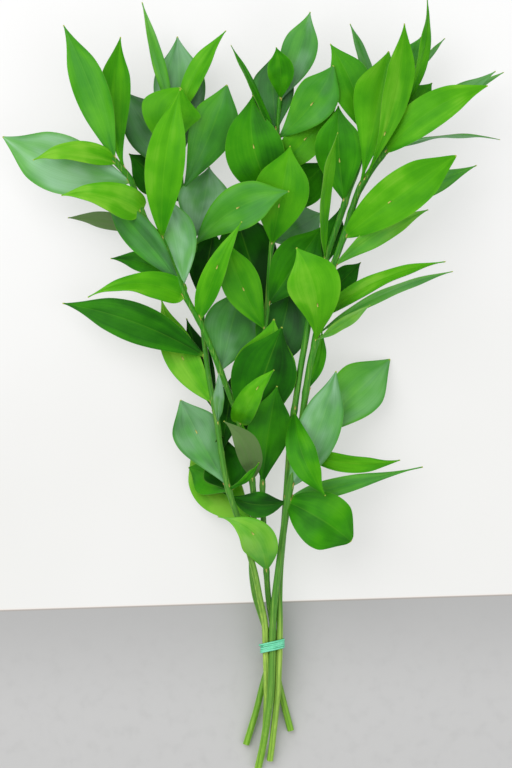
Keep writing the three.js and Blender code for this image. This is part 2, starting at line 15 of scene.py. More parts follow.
import bpy
import numpy as np
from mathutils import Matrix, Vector

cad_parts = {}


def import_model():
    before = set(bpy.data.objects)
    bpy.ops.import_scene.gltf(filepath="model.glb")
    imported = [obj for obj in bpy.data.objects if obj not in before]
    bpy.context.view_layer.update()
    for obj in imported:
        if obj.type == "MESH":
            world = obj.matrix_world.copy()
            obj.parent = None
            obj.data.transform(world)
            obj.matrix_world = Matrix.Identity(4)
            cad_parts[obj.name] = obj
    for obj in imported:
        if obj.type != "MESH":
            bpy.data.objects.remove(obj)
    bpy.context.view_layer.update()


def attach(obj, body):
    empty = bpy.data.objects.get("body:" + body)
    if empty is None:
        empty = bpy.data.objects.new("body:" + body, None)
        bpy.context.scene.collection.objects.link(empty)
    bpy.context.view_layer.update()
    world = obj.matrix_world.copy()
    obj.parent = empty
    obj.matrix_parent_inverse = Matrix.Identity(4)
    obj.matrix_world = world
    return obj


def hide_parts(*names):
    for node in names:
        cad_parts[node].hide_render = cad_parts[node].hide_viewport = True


LOG = logging.getLogger("ruscus_bunch")
MM = 0.001
TURN = 2 * math.pi
UPWARD = np.array([0.0, 0.0, 1.0])
LENGTHWISE = np.array([0.0, 1.0, 0.0])
Pair = tuple[float, float]
Triple = tuple[float, float, float]
Colour = tuple[float, float, float, float]
Step = tuple[float, float, float, float]
Face = tuple[int, ...]

# ------------------------------------------------------------------ the plan sheet
# Places across and along the bunch are counted on a grid of squares, the sheet, whose rows count downwards.
# These are the side of a square, the column and row of the middle, and the row that the tie lies on.
SHEET_SQUARE = 0.75
SHEET_CENTRE = (253.5, 386.5)
TIE_ROW = 646.5

# ------------------------------------------------------------------ how blades lie over one another
# Heights: the lowest that a blade may lie, a blade's thickness, the room between the middles of two blades
# that cross, the most that steep ones get, and the room between a foreign stem's skin and a blade's middle.
FLOOR = 0.1
BLADE_THICKNESS = 0.8
BLADE_CLEARANCE = 1.9
STEEPEST_CLEARANCE = 5.0
STEM_CLEARANCE = 1.2
# Rounds of bending, in how many of them blades of one stem are parted too, and from which share of their
# length on those may be parted.
SETTLE_ROUNDS = 260
SISTER_ROUNDS = 200
ROOT_ZONE = 0.3
# Over which share of the length the root lifts, and how freely root lift, arch and rise give way.
ROOT_LIFT_END = 0.2
FREEDOM = (0.6, 1.0, 1.0)
# Crossings with less leverage, and plan facets of which twice the area is less, don't count.
LEAST_LEVERAGE = 0.02
LEAST_FACET = 0.05
# Least half widths at root and tip, where the tip starts to taper, and which share of its width that takes.
PETIOLE_HALF_WIDTH = 1.2
TIP_HALF_WIDTH = 0.5
TIP_START = 0.7
TIP_TAPER = 0.4
# Where blades are cut into plan facets, and where they are tested, along and across.
STATIONS = (0.0, 0.1, 0.28, 0.5, 0.7, 0.87, 1.0)
ACROSS = (-1.0, 0.0, 1.0)
PROBE_S = tuple(k / 10 for k in range(1, 11))
PROBE_U = (-1.0, -0.5, 0.0, 0.5, 1.0)
# Steps along a stem between its tested places, and to both sides of a place for its direction.
STEM_PROBE_STEP = 4.0
TANGENT_STEP = 0.5


def plan_x(column: float) -> float:
    """Millimetres to the right of the middle for a sheet column."""
    return (column - SHEET_CENTRE[0]) * SHEET_SQUARE


def plan_y(row: float) -> float:
    """Millimetres up the sheet from the middle for a sheet row."""
    return (SHEET_CENTRE[1] - row) * SHEET_SQUARE


def unit(vectors: np.ndarray) -> np.ndarray:
    """Vectors of length 1, with x, y and z in the last axis."""
    return vectors / np.linalg.norm(vectors, axis=-1, keepdims=True)


def smooth_ramp(t: np.ndarray | float) -> np.ndarray:
    """A ramp from 0 to 1 that starts and ends level."""
    t = np.clip(t, 0.0, 1.0)
    return t * t * (3 - 2 * t)


def cubic(p: float, q: float, m: float, n: float, t: float) -> float:
    """A curve's value at a share t of its way from p to q, with the slopes m and n at its ends."""
    return p + t * (m + t * (3 * (q - p) - 2 * m - n + t * (2 * (p - q) + m + n)))


def bends(s: np.ndarray | float) -> np.ndarray:
    """The lift at the root, the arch and the rise of the tip, in the last axis, at shares s of the length."""
    s = np.asarray(s, float)
    return np.stack([smooth_ramp(s / ROOT_LIFT_END), 4 * s * (1 - s), s], axis=-1)


# ------------------------------------------------------------------ the table of stems and blades
@dataclass(frozen=True)
class Leaf:
    """One blade of a stem.

    Attributes:
        name: What it is called.
        node_row: Sheet row of its root, which lies on the stem's centre line.
        tip_column: Sheet column of its tip.
        tip_row: Sheet row of its tip.
        rise: Height of the tip over the root.
        width: Its greatest width.
        roll: Turn about its length, in degrees.
        twist: How much further it is rolled at the tip than at the root, in degrees.
        bow: How far its middle sways to its left.
        arch: How far its middle rises.
        cup: How deep it is cupped, as a share of its half width.
        tone: Its green, from the deepest at 0 to the palest at 1, partly painted light and shade.
        scar: Where its midrib has a scar, as a share of its length, or 0 for none.
        widest: Where it is widest, as a share of its length.
        fullness: Under 1 for full ends and over 1 for slim ones.
        turned: Whether its back faces up.
        sheen: How much painted sheen, a pale reflection of the light, it has, up to 1.
    """

    name: str
    node_row: float
    tip_column: float
    tip_row: float
    rise: float
    width: float
    roll: float
    twist: float
    bow: float
    arch: float
    cup: float
    tone: float
    scar: float = 0.0
    widest: float = 0.54
    fullness: float = 1.0
    turned: bool = False
    sheen: float = 0.0


@dataclass(frozen=True)
class StemPlan:
    """One stem.

    Attributes:
        node: Its node in the frame.
        piece: How the names of its pieces start.
        radius: Its radius at the foot and at the top.
        pallor: How pale it is at the foot, at the tie and a little above the tie.
        route: Sheet column, sheet row and height of points of its centre line, from the foot to the top.
        leaves: Its blades.
    """

    node: str
    piece: str
    radius: Pair
    pallor: Triple
    route: tuple[Triple, ...]
    leaves: tuple[Leaf, ...]


# Each blade's tone is partly its own green and partly painted light and shade.
LEFT = StemPlan(
    "leafy_stem_left", "left", (2.6, 2.1), (0.15, 0.5, 0.1),
    (
        (291, 733, 2.7), (280, 690, 5.8), (276, 672, 6.8), (271.5, 648, 8), (266.5, 632, 9.8),
        (260, 612, 13), (255, 595, 15.5), (252, 570, 18), (253, 530, 20), (254, 500, 22.5),
        (248, 455, 25), (236, 412, 29), (222, 375, 34.5), (210, 345, 39), (200, 322, 41),
        (186, 297, 43), (175, 270, 44), (162, 240, 45), (146, 220, 46), (131, 180, 47),
        (120, 167, 48), (113, 159, 49),
    ),
    (
        Leaf("tall_top", 162, 65, 28, 12, 28, -20, 10, -2.5, 6, 0.1, 0.62, widest=0.5, sheen=0.06),
        Leaf("second_top", 172, 121, 38, -6, 24.5, 22, 10, 6, 5, 0.22, 0.62, widest=0.6),
        Leaf("long_left", 183, 3, 137, -12, 44, 0, -8, 5.2, 8, 0.06, 0.60, fullness=0.85, sheen=0.7),
        Leaf("curled_left", 164, 35, 162, 14, 19, 30, 5, -7, 8, 0.12, 0.90, widest=0.36, fullness=0.9),
        Leaf("lower_curled", 213, 63, 197, 14, 25, 15, 15, -6.5, 10, 0.12, 0.85, widest=0.22, fullness=0.8),
        Leaf("thin_back", 236, 67, 217, -34, 18, -45, 0, -4, 4, 0.05, 0.30, turned=True),
        Leaf("along_stem", 285, 103, 196, -4, 25, -18, 8, -2, 6, 0.1, 0.36, sheen=0.15),
        Leaf("small_back", 292, 110, 258, -30, 18, 25, 0, -7, 4, 0.25, 0.25),
        Leaf("bright_lower", 297, 89, 298, 14, 23, 25, 10, -10, 8, 0.12, 0.72, widest=0.2, fullness=1.1),
        Leaf("tall_front", 241, 181, 92, 22, 29.5, 0, 8, 4.5, 12, 0.1, 0.70, widest=0.5),
        Leaf("pale_inner", 290, 166, 196, -6, 27, 0, 0, -4, 3, 0.08, 0.55, widest=0.57, sheen=0.7),
        Leaf("narrow_bright", 320, 242, 223, 24, 19, -25, 10, 3, 8, 0.12, 0.66, scar=0.5, widest=0.35),
        Leaf("shaded_inner", 372, 243, 286, -24, 42, 8, 5, 1, 0, 0.12, 0.38, sheen=0.33),
        Leaf("raised_narrow", 425, 274, 370, 28, 23, -38, 0, 3.5, 8, 0.15, 0.70,
             scar=0.6, widest=0.24, fullness=0.7),
        Leaf("broad_middle", 440, 282, 327, 1, 49, 0, 0, 1.5, 8, 0.05, 0.17, widest=0.57),
        Leaf("broad_behind", 446, 274, 319, -3, 48, 0, 0, -1.5, 6, 0.05, 0.75, widest=0.57),
        Leaf("folded_grey", 480, 224, 421, 20, 20, -20, 0, -8, 8, 0.15, 0.18, widest=0.42, turned=True),
        Leaf("low_left", 525, 190, 448, -14, 37, -5, 0, 3.5, 0, 0.1, 0.91),
    ),
)
INNER_LEFT = StemPlan(
    "leafy_stem_inner_left", "inner_left", (2.65, 1.7), (0.6, 1.0, 0.45),
    (
        (266, 730, 4.4), (266.6, 715, 8), (267, 700, 11), (266.8, 680, 14.8), (266, 655, 17.6),
        (265.5, 640, 18.5), (264.5, 622, 20.5), (260, 600, 24), (254, 570, 28.5), (242, 530, 34),
        (228, 487, 36.5), (221, 450, 35.5), (217, 420, 33), (212, 395, 29), (207, 365, 25),
        (203, 330, 22), (199, 285, 20.5), (196, 255, 20.5), (190, 225, 21.5), (184, 202, 23),
        (181, 180, 24.5), (179, 155, 26), (176, 125, 28),
    ),
    (
        Leaf("thin_tip", 130, 142, 2, 0, 11, 30, 10, 0, 2, 0.08, 0.72, sheen=0.2),
        Leaf("broad_tip", 165, 177, 35, -12, 39, 0, 0, -1, 6, 0.08, 0.38, widest=0.6, sheen=0.5),
        Leaf("side_tip", 132, 226, 31, 6, 17, -30, 5, 6, 4, 0.1, 0.68),
        Leaf("curled_tip", 165, 181, 89, 20, 45, 0, 0, 8, 12, -0.12, 0.62, widest=0.72, fullness=0.75),
        Leaf("right_upper", 190, 227, 85, 10, 36, 10, 5, -3, 8, 0.1, 0.48,
             widest=0.64, fullness=0.8, sheen=0.15),
        Leaf("left_back", 176, 122, 88, -24, 36, 0, 0, 0, 4, 0.08, 0.20, sheen=0.3),
        Leaf("left_lower_back", 202, 128, 152, -22, 32, 15, 0, 0, 4, 0.08, 0.12),
        Leaf("pale_right", 238, 209, 166, -6, 40, 5, 0, -2, 6, 0.08, 0.46, sheen=0.67),
        Leaf("front_right", 245, 289, 193, 42, 34, 12, 5, 8, 12, 0.08, 0.61,
             scar=0.5, widest=0.55, sheen=0.13),
        Leaf("behind_left", 404, 161, 299, -20, 26, -8, 5, 5.5, -6, 0.1, 0.85, scar=0.45, widest=0.5),
        Leaf("dark_left", 357, 62, 303, -6, 30, 0, 8, -5.5, 8, 0.08, 0.30, widest=0.5),
        # deep_left, deep_low and deep_foot fill shadowed gaps in the bunch; their near-black is painted
        # shade.
        Leaf("deep_left", 300, 214, 228, -6, 30, 0, 0, 0, 4, 0.06, 0.05),
        Leaf("deep_low", 414, 186, 318, -30, 19, 0, 0, 0, 4, 0.06, 0.03),
        Leaf("deep_foot", 452, 234, 372, -28, 22, 0, 0, 0, 4, 0.06, 0.04),
        Leaf("glossy_left", 487, 180, 400, -16, 36, 0, 5, 1, -2, 0.06, 0.36,
             scar=0.62, widest=0.64, fullness=0.85, sheen=0.42),
        Leaf("low_back", 492, 188, 468, -26, 30, 0, 0, -2, 0, 0.1, 0.40),
        # cupped_right's dark tone is partly painted shade inside its cup.
        Leaf("cupped_right", 432, 232, 490, -8, 37, 0, 0, 0, -6, 0.3, 0.12, widest=0.7, fullness=0.6),
        Leaf("pale_sliver", 424, 219, 373, 20, 14, 55, 0, 0, 4, 0.1, 0.70, sheen=0.9),
        Leaf("cup_rim", 489, 259, 462, 6, 6, 30, 0, -2.5, 4, 0.1, 0.45),
    ),
)
MIDDLE = StemPlan(
    "leafy_stem_middle", "middle", (2.5, 1.6), (0.15, 0.15, 0.0),
    (
        (246, 747, 2.6), (256.5, 712, 5.6), (262.5, 688, 8), (267, 672, 10.2), (272, 657, 12.7),
        (275.2, 647, 13.7), (272.5, 625, 14.4), (268.4, 598, 16.5), (266, 565, 18.8), (263.4, 520, 21.5),
        (262.5, 490, 23), (263, 450, 24), (264, 400, 25.5), (264.5, 350, 28), (266, 320, 29),
        (268, 290, 30.5), (270.5, 255, 32), (274, 225, 33), (276, 195, 34), (277, 160, 35),
        (277.5, 130, 36), (280, 98, 37.5),
    ),
    (
        Leaf("small_tip", 100, 276, 50, 24, 20, 0, 0, -2, 4, 0.1, 0.50),
        Leaf("top", 102, 310, 13, 4, 27, 8, 5, -1.5, 6, 0.08, 0.50, widest=0.56, sheen=0.4),
        Leaf("shaded_tip", 132, 274, 54, -14, 32, -5, 0, 2, 5, 0.1, 0.22, sheen=0.12),
        Leaf("thin_dark", 143, 231, 47, 16, 11, 60, 5, -1, 4, 0.1, 0.40),
        Leaf("broad_left", 198, 253, 96, 4, 44, 0, 0, 8, 8, 0.08, 0.40, scar=0.5, widest=0.46),
        Leaf("right_upper", 139, 333, 67, 12, 32, 5, 0, -5, 8, 0.08, 0.55,
             scar=0.5, widest=0.6, fullness=0.8, sheen=0.12),
        Leaf("right_lower", 171, 337, 104, -6, 28, 0, 0, 0, 6, 0.08, 0.61,
             scar=0.45, widest=0.45, fullness=0.9),
        Leaf("front", 246, 290, 147, 14, 41, 0, 0, 0, 12, 0.08, 0.60, scar=0.38),
        Leaf("right_back", 214, 328, 160, -26, 32, 0, 0, 0, 4, 0.08, 0.30),
        Leaf("right_low_back", 242, 322, 212, -30, 38, 0, 0, 0, 4, 0.08, 0.40, sheen=0.4),
        Leaf("right_middle", 306, 322, 226, -8, 36, 0, 0, 0, 6, 0.08, 0.36),
        Leaf("left_middle", 330, 226, 240, 22, 29, 5, 0, 3, 8, 0.1, 0.6, scar=0.45),
        # left_dark lies in shadow deep in the bunch; its near-black tone is painted shade.
        Leaf("left_dark", 312, 232, 203, -26, 44, 0, 0, 0, 4, 0.08, 0.10),
        Leaf("lower_front", 486, 277, 386, 12, 32.4, 5, 0, 1.4, 7, 0.1, 0.38, widest=0.58),
        Leaf("right_dark", 374, 290, 288, -18, 40, 0, 0, -3, 4, 0.08, 0.16, sheen=0.08),
        Leaf("lowest", 572, 218, 516, 26, 27, 0, 0, -11.5, 8, 0.05, 0.88,
             scar=0.5, widest=0.385, fullness=1.5, sheen=0.12),
    ),
)
RIGHT = StemPlan(
    "leafy_stem_right", "right", (2.8, 2.4), (0.25, 0.1, 0.0),
    (
        (258, 771, 2.9), (263.5, 745, 9), (267.3, 720, 14.8), (270.2, 700, 18.2), (271.6, 680, 19.6),
        (272.4, 655, 20), (272.4, 640, 20.4), (273, 622, 21.2), (274.8, 600, 22.8), (279.8, 560, 25.5),
        (283.6, 530, 28), (288, 500, 30.5), (293.5, 465, 33), (300.5, 430, 35), (305.3, 395, 37),
        (310, 365, 38.5), (315, 343, 39.5), (321, 310, 41), (330, 275, 42.5), (344, 235, 44),
        (351, 212, 44.5), (359, 190, 45), (370, 172, 46), (384, 152, 47), (393, 132, 48),
        (398, 118, 48.5),
    ),
    (
        Leaf("small_back", 128, 432, 83, -18, 26, 0, 0, 0, 4, 0.08, 0.50),
        Leaf("upper_pale", 134, 495, 72, -10, 18, 25, 0, -1.5, 5, 0.08, 0.60, sheen=0.3),
        Leaf("upper_thin", 121, 504, 72, -22, 18, 55, 0, -1, 4, 0.08, 0.65, sheen=0.3),
        Leaf("upper_bright", 154, 486, 88, 12, 27, -10, 0, 7, 10, 0.06, 0.72, widest=0.45, fullness=0.75),
        Leaf("edge_on", 156, 499, 141, 2, 12, 80, 0, 8, 2, 0.05, 0.50, sheen=0.4),
        Leaf("large_left", 188, 388, 53, 8, 39, 0, 0, 0, 12, 0.08, 0.66, widest=0.68),
        Leaf("large_right", 182, 403, 27, 20, 25, 30, 0, -7, 8, 0.08, 0.74, scar=0.3, widest=0.65),
        Leaf("tall_thin", 120, 426, 1, 8, 12, 45, 10, -7, 4, 0.1, 0.60, widest=0.53),
        Leaf("tip_behind", 214, 477, 165, -22, 18, 0, 0, -1.2, 4, 0.06, 0.60, sheen=0.2),
        Leaf("large_bright", 238, 455, 157, 12, 34, 0, 0, 1, 12, 0.06, 0.7,
             scar=0.4, widest=0.52, fullness=0.66),
        Leaf("long_lower", 268, 428, 210, -6, 18.5, 30, 0, 4, 6, 0.1, 0.83, sheen=0.08),
        Leaf("small_dark", 300, 361, 262, -24, 18, 0, 0, 0, 4, 0.06, 0.10),
        Leaf("upper_narrow", 318, 445, 262, 0, 15, -35, 0, 7.5, 8, 0.08, 0.78, widest=0.36),
        Leaf("long_narrow", 335, 452, 272, 10, 15, 58, 0, 6.5, 6, 0.08, 0.66, sheen=0.16),
        Leaf("short_narrow", 341, 369, 306, 30, 13, 50, 0, 0, 4, 0.1, 0.88, sheen=0.2),
        Leaf("broad_front", 343, 296, 249, 28, 40, 0, 0, -7.5, 14, 0.04, 0.72, scar=0.36, widest=0.6),
        Leaf("behind_stem", 392, 322, 330, -18, 12, 30, 0, -3, 4, 0.08, 0.50),
        Leaf("light_side", 448, 391, 359, -32, 40, 0, 0, 0, 8, 0.05, 0.64,
             widest=0.66, fullness=0.85, sheen=0.3),
        Leaf("pale_side", 487, 336, 371, 6, 32, 0, 0, -4, 10, 0.08, 0.48,
             widest=0.5, fullness=0.8, sheen=0.64),
        Leaf("twisted_side", 447, 400, 460, 2, 14, 15, 15, -7.5, 6, 0.08, 0.65, widest=0.45, fullness=0.8),
        Leaf("long_low", 499, 423, 467, -4, 14, 10, 30, 0.8, 6, 0.08, 0.54,
             widest=0.32, fullness=1.5, sheen=0.1),
        Leaf("hanging", 502, 351, 541, 12, 43, 0, 0, 2.4, 10, 0.05, 0.45, widest=0.56, fullness=0.5),
        Leaf("low_left", 501, 222, 492, -8, 20, 10, 0, 6, 2, 0.12, 0.20, widest=0.42, fullness=2),
    ),
)
INNER_RIGHT = StemPlan(
    "leafy_stem_inner_right", "inner_right", (2.5, 2.4), (0.5, 0.85, 0.05),
    (
        (270, 763, 3.6), (273.4, 735, 9.5), (277, 700, 15), (278.3, 680, 17), (279.3, 655, 18),
        (279.6, 640, 18.3), (279.8, 622, 18.4), (279.4, 600, 18.2), (280.4, 570, 18), (283, 540, 19),
        (286, 500, 24), (288, 470, 27.5), (291, 430, 31.5), (295, 405, 33.5), (300.2, 370, 35),
        (305.6, 340, 36), (311, 310, 37), (321, 275, 38), (334, 235, 39), (342, 212, 39.5),
        (349, 190, 40), (356, 172, 41), (363, 150, 42), (376, 120, 43.5), (390, 98, 44.5),
        (399, 86, 45.5),
    ),
    (
        Leaf("tip_grey", 98, 421, 37, -14, 22, 20, 0, 0, 3, 0.08, 0.50, sheen=0.15),
        Leaf("tip_thin", 96, 445, 38, -20, 9, 55, 0, 0, 3, 0.08, 0.62, sheen=0.3),
        Leaf("tip_dark", 128, 414, 72, -8, 26, 0, 0, -2, 4, 0.08, 0.50),
        Leaf("left_upper", 140, 330, 45, 0, 31, 0, 0, -4, 6, 0.08, 0.48),
        Leaf("left_thin", 116, 350, 24, -12, 14, 48, 0, -1.5, 3, 0.08, 0.55, sheen=0.2),
        Leaf("left_broad", 204, 338, 107, 8, 36, 0, 0, 2, 8, 0.08, 0.44, scar=0.42, widest=0.56),
        Leaf("front_narrow", 262, 337, 135, 30, 18, 62, 0, 5, 6, 0.1, 0.70),
        # deep_side fills a shadowed gap; its near-black tone is painted shade.
        Leaf("deep_side", 268, 340, 208, -10, 16, 0, 0, 0, 4, 0.06, 0.12),
        Leaf("pointing_down", 410.5, 325, 495, 22, 23, 16, 0, -5.5, 10, 0.1, 0.50, widest=0.5),
    ),
)
STEM_PLANS = (LEFT, INNER_LEFT, MIDDLE, RIGHT, INNER_RIGHT)


# ------------------------------------------------------------------ routes and blades
class Route:
    """A stem's centre line as smooth functions of y, with the chord slopes of its points."""

    def __init__(self, points: Sequence[Triple]) -> None:
        """Places the route's points.

        Args:
            points: Sheet column, sheet row and height of each point, from the cut end to the top.
        """
        self.knots = [(plan_x(column), plan_y(row), z) for column, row, z in points]
        self.start = self.knots[0][1]
        self.end = self.knots[-1][1]
        last = len(self.knots) - 1
        self.slopes = []
        for i in range(last + 1):
            before, after = self.knots[max(i - 1, 0)], self.knots[min(i + 1, last)]
            run = after[1] - before[1]
            self.slopes.append(((after[0] - before[0]) / run, (after[2] - before[2]) / run))

    def at(self, y: float) -> np.ndarray:
        """Finds a point of the centre line.

        Args:
            y: How far up the sheet it lies.

        Returns:
            The point.
        """
        i = 0
        while i < len(self.knots) - 2 and self.knots[i + 1][1] < y:
            i += 1
        a, b = self.knots[i], self.knots[i + 1]
        (x_slope, z_slope), (x_slope_after, z_slope_after) = self.slopes[i], self.slopes[i + 1]
        span = b[1] - a[1]
        t = (y - a[1]) / span
        x = cubic(a[0], b[0], x_slope * span, x_slope_after * span, t)
        z = cubic(a[2], b[2], z_slope * span, z_slope_after * span, t)
        return np.array([x, y, z])

    def tangent(self, y: float) -> np.ndarray:
        """The unit direction of the centre line at y, towards the top."""
        return unit(self.at(y + TANGENT_STEP) - self.at(y - TANGENT_STEP))


class Blade:
    """The middle surface of one blade."""

    def __init__(self, stem: "Stem", leaf: Leaf) -> None:
        """Sets the blade on its stem.

        Args:
            stem: The stem that carries it.
            leaf: Its row in the table.
        """
        self.stem = stem
        self.leaf = leaf
        self.root = stem.route.at(plan_y(leaf.node_row))
        self.tip = np.array([plan_x(leaf.tip_column), plan_y(leaf.tip_row)])
        self.half_width = leaf.width / 2
        self.roll = math.radians(leaf.roll)
        self.twist = math.radians(leaf.twist)
        self.bend = [0.0, float(leaf.arch), float(leaf.rise)]

    def half_width_at(self, s: np.ndarray) -> np.ndarray:
        """Works out half widths: a wedge at the root, drawn out at the tip.

        Args:
            s: Shares of the length.

        Returns:
            The half width at each share.
        """
        power = math.log(0.5) / math.log(self.leaf.widest)
        profile = np.clip(np.sin(np.pi * np.clip(s, 0, 1) ** power), 0, 1) ** self.leaf.fullness
        profile = profile * (1 - TIP_TAPER * smooth_ramp((s - TIP_START) / (1 - TIP_START)))
        return np.maximum(self.half_width * profile, np.where(s < 0.5, PETIOLE_HALF_WIDTH, TIP_HALF_WIDTH))

    def height(self, s: np.ndarray) -> np.ndarray:
        """Height of the centre line: the node's height and the three bends."""
        return self.root[2] + bends(s) @ np.array(self.bend)

    def point(self, s: Any, u: Any, curl_shape: Callable[[np.ndarray], np.ndarray] = np.square) -> np.ndarray:
        """Finds points of the middle surface.

        Args:
            s: Shares of the length.
            u: Places across, from -1 at the right edge to 1 at the left edge.
            curl_shape: How the cup rises from the middle, 0, to the edges, 1.

        Returns:
            The points, with x, y and z in the last axis.
        """
        s, u = np.broadcast_arrays(np.asarray(s, float), np.asarray(u, float))
        along = self.tip - self.root[:2]
        left = np.array([-along[1], along[0]]) / np.linalg.norm(along)
        sway = 4 * self.leaf.bow * s * (1 - s)
        sway_slope = 4 * self.leaf.bow * (1 - 2 * s)
        centre = self.root[:2] + along * s[..., None] + left * sway[..., None]
        heading = unit(along + left * sway_slope[..., None])
        side = np.stack([-heading[..., 1], heading[..., 0]], axis=-1)
        roll = self.roll + self.twist * (s - 0.5)
        half = self.half_width_at(s)
        curl = self.leaf.cup * half * curl_shape(u)
        across = u * half * np.cos(roll) - curl * np.sin(roll)
        up = u * half * np.sin(roll) + curl * np.cos(roll)
        flat = centre + side * across[..., None]
        return np.concatenate([flat, (self.height(s) + up)[..., None]], axis=-1)


class Stem:
    """One stem's route, radii and blades."""

    def __init__(self, plan: StemPlan) -> None:
        """Makes the stem and its blades.

        Args:
            plan: Its row in the table.
        """
        self.plan = plan
        self.route = Route(plan.route)
        self.blades = [Blade(self, leaf) for leaf in plan.leaves]

    def radius_at(self, y: float) -> float:
        """The stem's radius at y, thinner towards the top."""
        t = (y - self.route.start) / (self.route.end - self.route.start)
        return self.plan.radius[0] + (self.plan.radius[1] - self.plan.radius[0]) * t


# ------------------------------------------------------------------ blades bent clear of one another
@dataclass
class Crossing:
    """A plan point where a blade or stem lies over or under another blade.

    Attributes:
        one: Number of the first, with the stems counted before the blades.
        other: Number of the second, which is always a blade.
        mix: The first's mix of bends at this place.
        fixed: The first's height without its bends.
        other_mix: The second's mix of bends.
        other_fixed: The second's height without its bends.
        clearance: Height that has to lie between their middles.
        sister: Whether both grow on one stem.
        one_bends: Whether the first is a blade.
        side: 1 where the first lies on top, and -1 where the second does.
    """

    one: int
    other: int
    mix: Triple
    fixed: float
    other_mix: Triple
    other_fixed: float
    clearance: float
    sister: bool
    one_bends: bool
    side: int = 1


class Shadow:
    """A blade's facets seen from above."""

    def __init__(self, blade: Blade) -> None:
        """Cuts the blade into plan facets.

        Args:
            blade: The blade.
        """
        stations, across = np.array(STATIONS), np.array(ACROSS)
        grid = blade.point(stations[:, None], across[None, :])
        offset = grid[..., 2] - blade.height(stations)[:, None]
        corners = []
        for i in range(len(STATIONS) - 1):
            for j in range(len(ACROSS) - 1):
                a, b, c, d = (i, j), (i + 1, j), (i + 1, j + 1), (i, j + 1)
                corners += [(a, b, c), (a, c, d)]
        index = np.array(corners)
        self.root_z = blade.root[2]
        self.xy = grid[index[..., 0], index[..., 1], :2]
        self.offset = offset[index[..., 0], index[..., 1]]
        self.s = stations[index[..., 0]]
        self.mix = bends(self.s)
        self.low = grid[..., :2].reshape(-1, 2).min(0)
        self.high = grid[..., :2].reshape(-1, 2).max(0)
        a, b, c = self.xy[:, 0], self.xy[:, 1], self.xy[:, 2]
        self.area = (b[:, 0] - a[:, 0]) * (c[:, 1] - a[:, 1]) - (c[:, 0] - a[:, 0]) * (b[:, 1] - a[:, 1])

    def meets(self, other: "Shadow") -> bool:
        """Whether the two plan boxes overlap."""
        return bool(np.all(self.low < other.high) and np.all(other.low < self.high))

    def at(self, points: np.ndarray) -> list[tuple[Triple, float, float] | None]:
        """Finds where plan points lie on the blade.

        Args:
            points: Plan points, one to a row.

        Returns:
            For each point its mix of bends, height without them and share of the length, or None outside.
        """
        a, b, c = self.xy[:, 0], self.xy[:, 1], self.xy[:, 2]
        x, y = points[:, 0, None], points[:, 1, None]
        area = np.where(np.abs(self.area) < LEAST_FACET, 1.0, self.area)
        second = ((x - a[:, 0]) * (c[:, 1] - a[:, 1]) - (c[:, 0] - a[:, 0]) * (y - a[:, 1])) / area
        third = ((b[:, 0] - a[:, 0]) * (y - a[:, 1]) - (x - a[:, 0]) * (b[:, 1] - a[:, 1])) / area
        first = 1 - second - third
        inside = (first >= 0) & (second >= 0) & (third >= 0) & (np.abs(self.area) >= LEAST_FACET)
        found: list[tuple[Triple, float, float] | None] = []
        for row in range(len(points)):
            hits = np.flatnonzero(inside[row])
            if not len(hits):
                found.append(None)
                continue
            k = hits[0]
            shares = np.array([first[row, k], second[row, k], third[row, k]])
            mix = shares @ self.mix[k]
            fixed = self.root_z + float(shares @ self.offset[k])
            found.append((tuple(mix.tolist()), fixed, float(shares @ self.s[k])))
        return found


def leverage(mix: Triple) -> float:
    """How far a blade moves at a place for each unit by which its bends are shifted there."""
    return sum(share * share * freedom for share, freedom in zip(mix, FREEDOM))


def shift(bend: list[float], mix: Triple, amount: float) -> None:
    """Shifts a blade's three bends by an amount, shared out by their mix and freedom."""
    for k, freedom in enumerate(FREEDOM):
        bend[k] += amount * mix[k] * freedom


